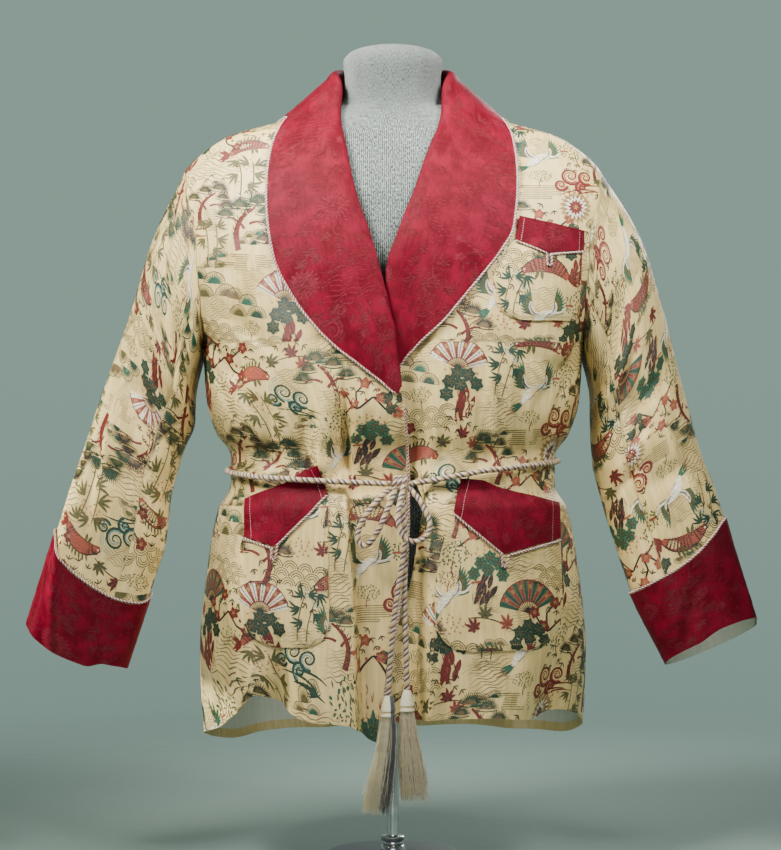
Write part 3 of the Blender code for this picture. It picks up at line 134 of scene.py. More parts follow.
def route(points, count):
    """Points spaced evenly along a smooth curve through the given points.

    Each stretch is a cubic that leaves a point in the direction of its two neighbours.
    """
    points = np.array(points, dtype=float)
    gaps = np.linalg.norm(np.diff(points, axis=0), axis=1)
    along = np.concatenate(([0.0], np.cumsum(gaps)))
    padded = np.vstack((2 * points[0] - points[1], points, 2 * points[-1] - points[-2]))
    place = np.linspace(0.0, along[-1], count)
    index = np.minimum(np.searchsorted(along, place, side="right") - 1, len(points) - 2)
    t = ((place - along[index]) / gaps[index])[:, None]
    before, start, end, after = (padded[index + number] for number in range(4))
    curve = 2 * start + (end - before) * t + (2 * before - 5 * start + 4 * end - after) * t * t
    return 0.5 * (curve + (3 * start - before - 3 * end + after) * t ** 3)


def power(value, exponent):
    """A power that keeps the sign, for the ovals."""
    return np.sign(value) * np.abs(value) ** exponent


def unit(vectors):
    """Vectors of length one."""
    return vectors / np.maximum(np.linalg.norm(vectors, axis=-1, keepdims=True), 1e-12)


def lengths(points):
    """Distance along a line of points, from its first point."""
    gaps = np.linalg.norm(np.diff(points, axis=0), axis=-1)
    return np.concatenate(([0.0], np.cumsum(gaps)))


def even(points, step):
    """The same line with its points spaced evenly, about a step apart."""
    along = lengths(points)
    count = max(int(along[-1] / step), 2) + 1
    places = np.linspace(0.0, along[-1], count)
    return np.stack([np.interp(places, along, column) for column in points.T], axis=-1)


# %% [markdown]
# ## The jacket's rings
# The body is one surface of ovals round the figure: half width, depth in front and behind, and
# how square the oval is. Folds and creases move it in and out along its normal. The tables are
# the ones that the solids were built from; here the folds are deeper, and fine creases are added.

# %% The jacket's rings
# The wearer's right is at negative x, at the viewer's left.
SIDES = ((-1, "right"), (1, "left"))
SEAM_GAP = 0.3 * MM
CLOTH = 1.5 * MM
# Height, half width, depth in front and behind, squareness of the oval.
BODY_ROWS = np.array((
    (0.130, 0.238, 0.158, 0.160, 2.3),
    (0.265, 0.244, 0.160, 0.158, 2.4),
    (0.395, 0.231, 0.156, 0.150, 2.4),
    (0.447, 0.220, 0.150, 0.142, 2.4),
    (0.474, 0.205, 0.139, 0.132, 2.3),
    (0.512, 0.205, 0.139, 0.132, 2.3),
    (0.540, 0.223, 0.147, 0.140, 2.4),
    (0.580, 0.235, 0.152, 0.148, 2.5),
    (0.650, 0.241, 0.152, 0.152, 2.6),
    (0.700, 0.264, 0.148, 0.152, 2.5),
    (0.760, 0.284, 0.140, 0.150, 2.4),
    (0.820, 0.284, 0.126, 0.140, 2.3),
    (0.868, 0.266, 0.104, 0.118, 2.2),
    (0.914, 0.214, 0.080, 0.094, 2.1),
    (0.939, 0.130, 0.064, 0.080, 2.0),
    (0.950, 0.100, 0.059, 0.075, 2.0),
    (0.975, 0.085, 0.055, 0.071, 2.0),
    (1.003, 0.074, 0.052, 0.069, 2.0),
))
# Angle from the centre front in degrees, height of the hem.
HEM_ROWS = np.array((
    (-180, 0.152),
    (-150, 0.150),
    (-125, 0.142),
    (-105, 0.150),
    (-90, 0.160),
    (-60, 0.178),
    (-48, 0.197),
    (-39, 0.2215),
    (-32, 0.212),
    (-21, 0.193),
    (-9, 0.186),
    (-5, 0.168),
    (-2, 0.163),
    (0, 0.186),
    (6, 0.193),
    (23, 0.196),
    (41, 0.192),
    (57, 0.200),
    (70, 0.192),
    (90, 0.171),
    (120, 0.152),
    (180, 0.152),
))
HEM_BASE = 0.160
HEM_FADE_TOP = 0.270
ARMHOLE_TOP = 0.872
ARMHOLE_PIT = 0.652
ARMHOLE_HALF_ANGLE = math.radians(34.0)
ARMHOLE_ROUNDNESS = 0.9
PANEL_TOP = 0.945
# Folds: place, height and depth at the upper end, the same at the lower end, half width.
FRONT_FOLDS = (
    (-0.139, 0.285, -0.002, -0.147, 0.170, -0.020, 0.013),
    (-0.185, 0.400, 0.003, -0.195, 0.160, 0.006, 0.024),
    (-0.105, 0.270, 0.002, -0.100, 0.170, 0.008, 0.030),
    (-0.165, 0.640, -0.001, -0.150, 0.505, -0.007, 0.014),
    (-0.118, 0.600, -0.001, -0.112, 0.505, -0.006, 0.011),
    (-0.056, 0.610, -0.001, -0.064, 0.500, -0.012, 0.008),
    (-0.084, 0.640, 0.001, -0.086, 0.505, 0.005, 0.012),
    (0.062, 0.590, -0.001, 0.058, 0.505, -0.005, 0.012),
    (0.105, 0.640, -0.001, 0.112, 0.510, -0.006, 0.012),
    (0.160, 0.620, -0.001, 0.150, 0.515, -0.007, 0.013),
    (0.215, 0.330, 0.001, 0.190, 0.165, -0.012, 0.020),
    (0.120, 0.280, 0.001, 0.125, 0.170, 0.006, 0.040),
    (0.060, 0.300, 0.001, 0.070, 0.170, -0.005, 0.018),
    (0.175, 0.760, 0.002, 0.205, 0.640, 0.005, 0.022),
    (-0.200, 0.740, -0.002, -0.190, 0.620, -0.005, 0.020),
)
BACK_FOLDS = (
    (-0.170, 0.620, -0.001, -0.160, 0.505, -0.007, 0.014),
    (-0.120, 0.650, -0.001, -0.112, 0.505, -0.007, 0.013),
    (-0.068, 0.610, -0.001, -0.060, 0.505, -0.006, 0.012),
    (-0.015, 0.640, -0.001, -0.012, 0.505, -0.006, 0.013),
    (0.045, 0.600, -0.001, 0.042, 0.505, -0.006, 0.012),
    (0.098, 0.640, -0.001, 0.094, 0.505, -0.007, 0.013),
    (0.155, 0.610, -0.001, 0.150, 0.505, -0.006, 0.014),
    (-0.150, 0.460, -0.003, -0.172, 0.150, 0.008, 0.026),
    (-0.088, 0.470, -0.003, -0.096, 0.150, -0.009, 0.020),
    (-0.030, 0.460, -0.002, -0.034, 0.150, 0.009, 0.026),
    (0.030, 0.470, -0.003, 0.036, 0.150, -0.008, 0.018),
    (0.082, 0.460, -0.002, 0.098, 0.150, 0.008, 0.026),
    (0.140, 0.465, -0.003, 0.160, 0.150, -0.009, 0.020),
)
FOLD_FADE = 0.022
FOLD_GAIN = 1.75
CREASE_GAIN = 2.6
# Creases, one by one: place and height at both ends, half width, depth.
FRONT_CREASES = (
    (-0.232, 0.655, -0.165, 0.560, 0.008, -0.0022),
    (-0.225, 0.625, -0.180, 0.528, 0.006, -0.0020),
    (-0.215, 0.690, -0.140, 0.640, 0.009, -0.0016),
    (-0.170, 0.830, -0.215, 0.720, 0.010, -0.0018),
    (-0.160, 0.790, -0.185, 0.690, 0.008, 0.0012),
    (-0.142, 0.585, -0.128, 0.520, 0.005, -0.0018),
    (-0.098, 0.570, -0.096, 0.518, 0.004, -0.0017),
    (-0.060, 0.590, -0.058, 0.518, 0.005, -0.0015),
    (-0.030, 0.570, -0.034, 0.520, 0.004, -0.0013),
    (-0.190, 0.465, -0.196, 0.385, 0.006, -0.0018),
    (-0.064, 0.462, -0.060, 0.392, 0.004, -0.0016),
    (-0.200, 0.300, -0.212, 0.180, 0.010, -0.0026),
    (-0.168, 0.260, -0.172, 0.185, 0.007, 0.0020),
    (0.036, 0.575, 0.040, 0.520, 0.005, -0.0016),
    (0.083, 0.585, 0.086, 0.520, 0.005, -0.0018),
    (0.130, 0.600, 0.134, 0.520, 0.006, -0.0020),
    (0.180, 0.590, 0.176, 0.522, 0.006, -0.0022),
    (0.228, 0.650, 0.178, 0.570, 0.008, -0.0022),
    (0.222, 0.620, 0.190, 0.535, 0.006, -0.0018),
    (0.120, 0.660, 0.192, 0.622, 0.010, -0.0014),
    (0.052, 0.455, 0.044, 0.360, 0.007, -0.0020),
    (0.214, 0.455, 0.219, 0.350, 0.008, -0.0022),
    (0.100, 0.262, 0.108, 0.205, 0.009, -0.0016),
    (0.150, 0.262, 0.160, 0.205, 0.012, 0.0018),
    (0.042, 0.330, 0.046, 0.215, 0.008, 0.0016),
)
BACK_CREASES = (
    (-0.225, 0.660, -0.150, 0.575, 0.008, -0.0024),
    (-0.210, 0.620, -0.165, 0.530, 0.006, -0.0020),
    (0.228, 0.655, 0.160, 0.580, 0.008, -0.0024),
    (0.212, 0.615, 0.172, 0.532, 0.006, -0.0020),
    (-0.180, 0.830, -0.120, 0.735, 0.012, -0.0020),
    (0.185, 0.825, 0.130, 0.740, 0.012, -0.0020),
    (-0.050, 0.900, 0.045, 0.893, 0.009, -0.0015),
    (-0.142, 0.588, -0.136, 0.520, 0.005, -0.0018),
    (-0.090, 0.600, -0.086, 0.520, 0.005, -0.0020),
    (-0.040, 0.575, -0.037, 0.520, 0.004, -0.0016),
    (0.018, 0.590, 0.016, 0.520, 0.005, -0.0019),
    (0.070, 0.580, 0.067, 0.520, 0.005, -0.0017),
    (0.125, 0.595, 0.121, 0.520, 0.005, -0.0019),
    (-0.122, 0.460, -0.132, 0.350, 0.007, -0.0022),
    (-0.058, 0.458, -0.062, 0.330, 0.006, -0.0020),
    (0.002, 0.460, 0.001, 0.370, 0.006, -0.0019),
    (0.058, 0.458, 0.066, 0.340, 0.006, -0.0021),
    (0.112, 0.462, 0.127, 0.345, 0.007, -0.0022),
    (-0.186, 0.455, -0.200, 0.320, 0.008, -0.0024),
    (0.180, 0.455, 0.196, 0.325, 0.008, -0.0022),
)
# The lapping front drops back in one deep fold: height, place of its edge, depth.
LAP_FOLD_ROWS = np.array((
    (0.130, -0.044, 0.026),
    (0.300, -0.047, 0.024),
    (0.400, -0.053, 0.022),
    (0.470, -0.059, 0.017),
    (0.520, -0.066, 0.010),
    (0.585, -0.080, 0.000),
    (1.010, -0.082, 0.000),
))
LAP_FOLD_WALL = 0.0055
# The front beneath: height, how far behind the lapping one, where it comes out again.
UNDERLAP_ROWS = np.array((
    (0.130, 0.010, 0.046),
    (0.440, 0.009, 0.046),
    (0.500, 0.009, 0.050),
    (0.580, 0.017, 0.058),
    (0.660, 0.017, 0.058),
    (0.730, 0.008, 0.058),
    (0.790, 0.000, 0.058),
    (1.010, 0.000, 0.058),
))
UNDERLAP_FULL = 0.022


def angle_at(sideways, height):
    """Angle round the body of a place on its front, given as seen from the front."""
    half_width, _, _, squareness = read_columns(BODY_ROWS, height)
    share = np.clip(sideways / half_width, -1.0, 1.0)
    return np.arcsin(power(share, squareness / 2.0))


def fold_depth(sideways, height, folds):
    """Sum of the large folds: a bell across each fold, its depth changing evenly along it."""
    total = np.zeros_like(sideways)
    for x_top, z_top, depth_top, x_low, z_low, depth_low, half_width in folds:
        share = np.clip((height - z_low) / (z_top - z_low), 0.0, 1.0)
        middle = x_low + (x_top - x_low) * share
        depth = depth_low + (depth_top - depth_low) * share
        inside = smoothstep(z_low - FOLD_FADE, z_low, height)
        inside = inside * (1.0 - smoothstep(z_top, z_top + FOLD_FADE, height))
        total += depth * inside * np.exp(-((sideways - middle) / half_width) ** 2)
    return total


def crease_depth(sideways, height, creases):
    """Sum of the fine creases: a bell across each line, steeper on one side, fading at its ends."""
    total = np.zeros_like(sideways)
    for x_one, z_one, x_two, z_two, half_width, depth in creases:
        run_x = x_two - x_one
        run_z = z_two - z_one
        size = math.hypot(run_x, run_z)
        along = ((sideways - x_one) * run_x + (height - z_one) * run_z) / size ** 2
        across = ((sideways - x_one) * run_z - (height - z_one) * run_x) / size / half_width
        fade = smoothstep(-0.25, 0.25, along) * (1.0 - smoothstep(0.75, 1.25, along))
        total += depth * fade * np.exp(-(across * (1.0 + 0.35 * np.tanh(across))) ** 2)
    return total


def relief(sideways, height, folds, creases):
    """Folds and creases together, each made deeper by its own gain."""
    folded = FOLD_GAIN * fold_depth(sideways, height, folds)
    return folded + CREASE_GAIN * crease_depth(sideways, height, creases)


def lap_depth(sideways, height, layer):
    """How far the two fronts drop behind the ring near the centre."""
    edge, deep = read_columns(LAP_FOLD_ROWS, height)
    if layer == "right":
        return deep * smoothstep(0.0, LAP_FOLD_WALL, sideways - edge)
    under, start = read_columns(UNDERLAP_ROWS, height)
    return (deep + under) * (1.0 - smoothstep(UNDERLAP_FULL, start, sideways))


def body(angle, height, layer):
    """Outer face of the jacket's body: superellipse rings moved along their normals by the folds."""
    angle, height = np.broadcast_arrays(np.asarray(angle, float), np.asarray(height, float))
    half_width, front, behind, squareness = read_columns(BODY_ROWS, height)
    facing = np.cos(angle)
    depth = np.where(facing > 0.0, front, behind)
    x = half_width * power(np.sin(angle), 2.0 / squareness)
    y = -depth * power(facing, 2.0 / squareness)
    normal_x = power(x / half_width, squareness - 1.0) / half_width
    normal_y = power(y / depth, squareness - 1.0) / depth
    size = np.hypot(normal_x, normal_y)
    ahead = smoothstep(0.10, 0.40, facing)
    astern = smoothstep(0.10, 0.40, -facing)
    out = relief(x, height, FRONT_FOLDS, FRONT_CREASES) * ahead
    out = out + relief(x, height, BACK_FOLDS, BACK_CREASES) * astern
    if layer != "back":
        out = out - lap_depth(x, height, layer) * ahead
    return np.stack((x + out * normal_x / size, y + out * normal_y / size, height), axis=-1)


def body_normal(angle, height, layer):
    """Outward normal of the body, from its slopes round and up."""
    step_angle = 0.02
    step_height = 0.003
    around = body(angle + step_angle, height, layer) - body(angle - step_angle, height, layer)
    up = body(angle, height + step_height, layer) - body(angle, height - step_height, layer)
    return unit(np.cross(around, up))


def raised(angle, height, layer, distance):
    """Places on the body moved outwards."""
    distance = np.asarray(distance, dtype=float)[..., None]
    return body(angle, height, layer) + body_normal(angle, height, layer) * distance


print("rings:", len(BODY_ROWS), "creases:", len(FRONT_CREASES) + len(BACK_CREASES))

# %% [markdown]
# ## Meshes from grids
# A cloth piece is a grid of points with a second grid just inside it, so that it has a face, a
# lining and an edge. A cord is a grid too: rings of points along a path, turned a little more at
# each step so that its plies wind round each other.


# %% Meshes from grids
PLY_COLUMNS = 4


def add_mesh(name, points, faces, materials, slots=None, uv=None):
    """Link a mesh object at the origin from arrays of points and faces, with a slot for each face.

    The points may come as a grid, which is read row by row. The map has a row for each point, or
    one for each corner of each face.
    """
    points = points.reshape(-1, 3)
    mesh = bpy.data.meshes.new(name)
    mesh.from_pydata(points.tolist(), [], [face for block in faces for face in block.tolist()])
    for material in materials:
        mesh.materials.append(material)
    if slots is not None:
        mesh.polygons.foreach_set("material_index", np.asarray(slots, dtype=np.int32))
    mesh.polygons.foreach_set("use_smooth", np.ones(len(mesh.polygons), dtype=bool))
    if uv is not None:
        uv = uv.reshape(-1, 2)
        layer = mesh.uv_layers.new(name="cloth")
        if len(uv) == len(points):
            corners = np.zeros(len(mesh.loops), dtype=np.int32)
            mesh.loops.foreach_get("vertex_index", corners)
            uv = uv[corners]
        layer.data.foreach_set("uv", uv.astype(np.float32).ravel())
    mesh.update()
    item = bpy.data.objects.new(name, mesh)
    bpy.context.collection.objects.link(item)
    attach(item, "root")
    return item


def grid_quads(rows, columns, around=False):
    """Corner numbers of the quads of a grid; around joins its last column to its first."""
    across = np.arange(columns if around else columns - 1)
    row, column = np.meshgrid(np.arange(rows - 1), across, indexing="ij")
    after = (column + 1) % columns
    corners = (row * columns + column, row * columns + after,
               (row + 1) * columns + after, (row + 1) * columns + column)
    return np.stack(corners, axis=-1).reshape(-1, 4)


def shell(name, outer, inner, materials, uv, turned_rows=0):
    """A closed cloth shell between two grids: face and edges in slot 0, lining in slot 1.

    Where the cloth is turned up at the first edge, that many rows of the inside show the face cloth.
    """
    rows, columns = outer.shape[:2]
    face = grid_quads(rows, columns)
    lining = face[:, ::-1] + rows * columns
    number = np.arange(rows * columns).reshape(rows, columns)
    rims = []
    edges = ((number[0], True), (number[-1], False), (number[:, 0], False), (number[:, -1], True))
    for line, forward in edges:
        first, second = (line[:-1], line[1:]) if forward else (line[1:], line[:-1])
        rims.append(np.stack((second, first, first + rows * columns, second + rows * columns), axis=-1))
    faces = [face, lining, *rims]
    slots = np.zeros(sum(len(block) for block in faces), dtype=int)
    slots[len(face) + turned_rows * (columns - 1):2 * len(face)] = 1
    points = np.concatenate((outer.reshape(-1, 3), inner.reshape(-1, 3)))
    item = add_mesh(name, points, faces, materials, slots, np.tile(uv.reshape(-1, 2), (2, 1)))
    item.data.set_sharp_from_angle(angle=math.radians(60.0))
    return item


def carried(path):
    """Two directions across a path at each point, carried along it without twisting."""
    tangent = unit(np.gradient(path, axis=0))
    side = unit(np.cross(tangent[0], (0.31, 0.52, 0.79)))
    sides = []
    for direction in tangent:
        side = unit(side - direction * np.dot(side, direction))
        sides.append(side)
    sides = np.array(sides)
    return sides, np.cross(tangent, sides)


def twisted_cord(name, path, radius, pitch, materials, lobe=0.22):
    """A cord of several plies, one for each material.

    Round the section the radius dips between the plies by the share named lobe, and the whole
    section turns once for each pitch along the path.
    """
    plies = len(materials)
    count = plies * PLY_COLUMNS
    side, other = carried(path)
    along = lengths(path)
    turn = np.linspace(0.0, 2.0 * math.pi, count, endpoint=False)
    hump = np.abs(np.cos(0.5 * plies * turn)) ** 0.7
    reach = radius * (1.0 - lobe + lobe * hump)
    angle = turn[None, :] + 2.0 * math.pi * along[:, None] / pitch
    ring = side[:, None] * np.cos(angle)[..., None] + other[:, None] * np.sin(angle)[..., None]
    points = path[:, None] + ring * reach[None, :, None]
    quads = grid_quads(len(path), count, around=True)
    ply = ((np.arange(count) + PLY_COLUMNS // 2 + 1) // PLY_COLUMNS) % plies
    slots = np.concatenate((np.tile(ply, len(path) - 1), (0, 0)))
    start = np.arange(count)[None, ::-1]
    end = np.arange(count)[None, :] + (len(path) - 1) * count
    uv = np.stack(np.broadcast_arrays(along[:, None], turn * radius), axis=-1)
    return add_mesh(name, points, [quads, start, end], materials, slots, uv)


def turned(name, rows, columns, materials):
    """A closed solid of oval rings: height, half width, depth in front and behind.

    The rings start at the back. The map goes once round the widest ring, so it has a value for each
    corner and no jump inside a face.
    """
    rows = np.array(rows)
    turn = math.pi + 2.0 * math.pi * np.arange(columns + 1) / columns
    angle = turn[None, :-1]
    facing = np.cos(angle)
    depth = np.where(facing > 0.0, rows[:, 2:3], rows[:, 3:4])
    height = np.broadcast_to(rows[:, 0:1], depth.shape)
    points = np.stack((rows[:, 1:2] * np.sin(angle), -depth * facing, height), axis=-1)
    ends = [np.arange(columns)[None, ::-1], np.arange(columns)[None, :] + (len(rows) - 1) * columns]
    quads = grid_quads(len(rows), columns, around=True)
    unrolled = np.stack(np.broadcast_arrays(turn[None, :] * rows[:, 1].max(), rows[:, 0:1]), axis=-1)
    side_map = unrolled.reshape(-1, 2)[grid_quads(len(rows), columns + 1)].reshape(-1, 2)
    end_map = points.reshape(-1, 3)[np.concatenate([end.ravel() for end in ends])][:, :2]
    corners = np.vstack((side_map, end_map))
    item = add_mesh(name, points, [quads, *ends], materials, None, corners)
    item.data.set_sharp_from_angle(angle=math.radians(40.0))
    return item


# %% [markdown]
# ## Materials
# Shader sums are written as ordinary sums. One small class wraps a node's socket, so that
# `height * 0.5 + grain` makes the nodes. Cloth materials read the piece's own map, which is in
# metres along the cut cloth, so the weave keeps its size on every piece.


# %% Materials
class Value:
    """A node's output that can be used in sums."""

    def __init__(self, tree, socket):
        self.tree = tree
        self.socket = socket

    def make(self, kind, inputs, output=0, **settings):
        """Any other node, with its inputs by name or number."""
        node = self.tree.nodes.new(kind)
        for key, setting in settings.items():
            setattr(node, key, setting)
        for key, value in inputs.items():
            if isinstance(value, Value):
                self.tree.links.new(value.socket, node.inputs[key])
            else:
                node.inputs[key].default_value = value
        return Value(self.tree, node.outputs[output])

    def math(self, operation, *others):
        return self.make("ShaderNodeMath", dict(enumerate((self, *others))), operation=operation)

    def __add__(self, other):
        return self.math("ADD", other)

    def __mul__(self, other):
        return self.math("MULTIPLY", other)

    def __rsub__(self, other):
        return self.make("ShaderNodeMath", {0: other, 1: self}, operation="SUBTRACT")

    def sine(self, wavelength):
        """A wave from -1 to 1 with this wavelength."""
        return (self * (2.0 * math.pi / wavelength)).math("SINE")

    def between(self, low, high):
        """0 below low, 1 above high, smooth between."""
        inputs = {"Value": self, "From Min": low, "From Max": high}
        return self.make("ShaderNodeMapRange", inputs, interpolation_type="SMOOTHSTEP")

    def mixed(self, one, two):
        """A colour between two, by this share."""
        inputs = {0: self}
        for key, colour in ((6, one), (7, two)):
            inputs[key] = colour if isinstance(colour, Value) else (*colour, 1.0)
        return self.make("ShaderNodeMix", inputs, 2, data_type="RGBA")

    def noise(self, scale, detail=3.0, stretch=(1.0, 1.0, 1.0)):
        """Noise read at this place; a scale of 1000 has lumps of about a millimetre."""
        place = self.make("ShaderNodeMapping", {"Vector": self, "Scale": stretch})
        return place.make("ShaderNodeTexNoise", {"Vector": place, "Scale": scale, "Detail": detail})

    def axis(self, number):
        """One coordinate of this place."""
        return self.make("ShaderNodeSeparateXYZ", {0: self}, number)


def new_material(name, recipe, solid=False, **constants):
    """A Principled material: the recipe takes a place on the cloth, or in space, and gives the inputs."""
    material = bpy.data.materials.new(name)
    material.use_nodes = True
    tree = material.node_tree
    shader = tree.nodes["Principled BSDF"]
    for key, setting in constants.items():
        shader.inputs[key.replace("_", " ")].default_value = setting
    place = Value(tree, tree.nodes.new("ShaderNodeTexCoord").outputs["Object" if solid else "UV"])
    for key, value in recipe(place).items():
        if key == "Height":
            height, distance = value
            inputs = {"Height": height, "Distance": distance, "Strength": 1.0}
            value = height.make("ShaderNodeBump", inputs)
            key = "Normal"
        tree.links.new(value.socket, shader.inputs[key])
    return material


def satin(light, dark, thread, rough=0.34):
    """Satin ground: long floats along the warp, with slubs and fine ribs of one thread's width."""
    def recipe(place):
        slub = place.noise(34.0, 4.0, (5.0, 0.6, 1.0))
        broad = place.noise(9.0)
        rib = place.axis(0).sine(thread)
        pick = place.axis(1).sine(thread * 1.7)
        tone = (slub * 0.6 + broad * 0.4 + rib * 0.05).between(0.36, 0.66)
        height = rib * 0.5 + pick * 0.3 + slub
        return {"Base Color": tone.mixed(dark, light), "Roughness": broad * 0.16 + rough,
                "Height": (height, 0.00006)}
    return recipe


def damask(light, dark, thread):
    """Tone-on-tone satin: soft patches a finger wide where face and back of the weave change places; their
    roughness differs, and their sheen is painted into the colour as lighter and darker red.
    """
    def recipe(place):
        patch = place.noise(46.0, 3.0, (1.0, 0.7, 1.0))
        slub = place.noise(120.0, 3.0, (3.0, 0.6, 1.0))
        rib = place.axis(0).sine(thread)
        # Painted sheen: the patches are made lighter and darker in colour for how face and back of the weave
        # catch the light.
        tone = (patch * 0.75 + slub * 0.25 + rib * 0.03).between(0.36, 0.64)
        return {"Base Color": tone.mixed(dark, light), "Roughness": patch * 0.2 + 0.45,
                "Height": (rib * 0.6 + slub, 0.00006)}
    return recipe


def floats(colour, thread=0.0011):
    """Weft floats of a motif: threads side by side, each a little lighter or darker."""
    def recipe(place):
        bright = tuple(min(1.0, 1.30 * channel + 0.012) for channel in colour)
        dull = tuple(0.70 * channel for channel in colour)
        rib = place.axis(1).sine(thread)
        fleck = place.noise(420.0, 2.0, (0.5, 1.6, 1.0))
        tone = (fleck + rib * 0.10).between(0.30, 0.72)
        return {"Base Color": tone.mixed(dull, bright), "Roughness": fleck * 0.2 + 0.40,
                "Height": (rib + fleck, 0.00007)}
    return recipe


def spun(colour, fibre=0.0009):
    """Spun yarn: fine fibres along each ply."""
    def recipe(place):
        bright = tuple(min(1.0, 1.18 * channel + 0.01) for channel in colour)
        dull = tuple(0.72 * channel for channel in colour)
        hair = place.noise(900.0, 3.0, (0.35, 1.5, 1.0))
        strand = (place.axis(1) + place.axis(0) * 0.5).sine(fibre)
        tone = (hair + strand * 0.10).between(0.32, 0.68)
        return {"Base Color": tone.mixed(dull, bright), "Roughness": hair * 0.2 + 0.5,
                "Height": (strand * 0.6 + hair, 0.00010)}
    return recipe


# Colour and sheen of each yarn.
YARNS = {
    "piping_cream": ((0.80, 0.66, 0.52), 0.2),
    "piping_red": ((0.20, 0.030, 0.045), 0.2),
    "belt_cream": ((0.74, 0.62, 0.42), 0.2),
    "belt_mauve": ((0.115, 0.058, 0.072), 0.2),
    "belt_tan": ((0.66, 0.47, 0.17), 0.2),
    "tassel_cream": ((0.95, 0.83, 0.56), 0.3),
    "tassel_tan": ((0.82, 0.66, 0.38), 0.3),
    "tassel_slate": ((0.075, 0.082, 0.098), 0.3),
}
yarn = {name: new_material(name, spun(colour), Sheen_Weight=sheen) for name, (colour, sheen) in YARNS.items()}
BELT_PLIES = [yarn["belt_" + name] for name in ("cream", "mauve", "tan", "cream", "mauve")]
PIPING_PLIES = [yarn["piping_" + name] for name in ("cream", "red", "cream", "red")]
TASSEL_YARNS = [yarn["tassel_" + name] for name in ("cream", "tan", "slate")]
print("yarns:", len(YARNS))

# %% [markdown]
# ## The belt
# The belt is one twisted cord with a tassel at each end. It lies round the gathered waist, is
# tied in a bow at the centre front, and its two ends hang down the front. Each stretch follows
# its solid: the waist from one side of the knot to the other, two bows and two ends.

# %% The belt's routes
BELT_RADIUS = 3.6 * MM
BELT_PITCH = 15.0 * MM
# Angle round the waist in degrees, height of the cord.
BELT_WAIST_ROWS = np.array((
    (-180, 0.503),
    (-90, 0.494),
    (-60, 0.489),
    (-20, 0.483),
    (0, 0.480),
    (30, 0.496),
    (70, 0.504),
    (90, 0.506),
    (180, 0.503),
))
BELT_CLEARANCE = 1.1 * MM
BELT_KNOT_TURN = math.radians(2.2)
BELT_KNOT_GAP = math.radians(7.0)
BELT_OVER_BANDS = ((-34.0, 20.0), (27.0, 14.0))
BELT_OVER_BAND_LIFT = 5.5 * MM
KNOT_CENTRE = (0.0085, 0.480, 0.0120)
KNOT_HALF_SIZES = (0.0125, 0.0095, 0.0105)
KNOT_STRAIGHT = 4.0 * MM
KNOT_WAYS = {
    "belt_waist": ((1.0, 0.35, 0.0), (-1.0, 0.35, 0.0)),
    "belt_bow_right": ((-0.85, -0.10, -0.50), (-0.45, -0.65, -0.60)),
    "belt_bow_left": ((0.85, -0.10, -0.50), (0.25, -0.85, -0.45)),
    "belt_end_right": ((0.10, -0.25, -0.95), None),
    "belt_end_left": ((0.25, 0.50, -0.85), None),
}
# Sideways, height, distance off the front.
BELT_STRETCHES = {
    "belt_bow_right": (
        (-0.022, 0.456, 0.0135),
        (-0.039, 0.431, 0.0110),
        (-0.042, 0.412, 0.0100),
        (-0.032, 0.406, 0.0110),
        (-0.019, 0.422, 0.0150),
        (-0.008, 0.446, 0.0190),
    ),
    "belt_bow_left": (
        (0.034, 0.457, 0.0160),
        (0.044, 0.434, 0.0180),
        (0.040, 0.418, 0.0210),
        (0.026, 0.411, 0.0240),
        (0.012, 0.418, 0.0260),
        (0.006, 0.442, 0.0270),
    ),
    "belt_end_right": (
        (0.0125, 0.440, 0.0145),
        (0.0150, 0.414, 0.0140),
        (0.0110, 0.384, 0.0130),
        (0.0050, 0.345, 0.0125),
        (0.0005, 0.310, 0.0120),
        (-0.0030, 0.268, 0.0120),
        (-0.0055, 0.226, 0.0120),
    ),
    "belt_end_left": (
        (0.0150, 0.436, 0.0052),
        (0.0150, 0.395, 0.0045),
        (0.0140, 0.350, 0.0038),
        (0.0145, 0.310, 0.0045),
        (0.0160, 0.270, 0.0055),
        (0.0170, 0.232, 0.0065),
    ),
}


def front_place(sideways, height, distance):
    """A place in front of the jacket's unfolded ring, as seen from the front."""
    half_width, front, _, squareness = read_columns(BODY_ROWS, height)
    share = np.clip(sideways / half_width, -1.0, 1.0)
    facing = np.cos(np.arcsin(power(share, squareness / 2.0)))
    return np.stack((sideways, -front * power(facing, 2.0 / squareness) - distance, height), axis=-1)


def belt_waist_route():
    """The cord round the waist: the ring there plus the cord's radius, higher over the bands."""
    gap = BELT_KNOT_GAP
    angle = np.linspace(BELT_KNOT_TURN + gap, BELT_KNOT_TURN + 2.0 * math.pi - gap, 36)
    turn = wrapped(angle)
    height = through(BELT_WAIST_ROWS, turn)[..., 0]
    half_width, front, behind, squareness = read_columns(BODY_ROWS, height)
    depth = np.where(np.cos(angle) > 0.0, front, behind)
    out = BELT_RADIUS + BELT_CLEARANCE
    for place, half in BELT_OVER_BANDS:
        out = out + BELT_OVER_BAND_LIFT * (1.0 - smoothstep(0.6, 1.5, np.abs(turn - place) / half))
    x = (half_width + out) * power(np.sin(angle), 2.0 / squareness)
    y = -(depth + out) * power(np.cos(angle), 2.0 / squareness)
    return np.stack((x, y, height), axis=-1)


knot_centre = front_place(*[np.array(value) for value in KNOT_CENTRE])


def knot_exit(way, beyond=0.0):
    """Where a stretch meets the knot's round face, or a little further along the same way."""
    way = unit(np.array(way))
    reach = 1.0 / np.linalg.norm(way / np.array(KNOT_HALF_SIZES))
    return knot_centre + way * (reach + SEAM_GAP + beyond)


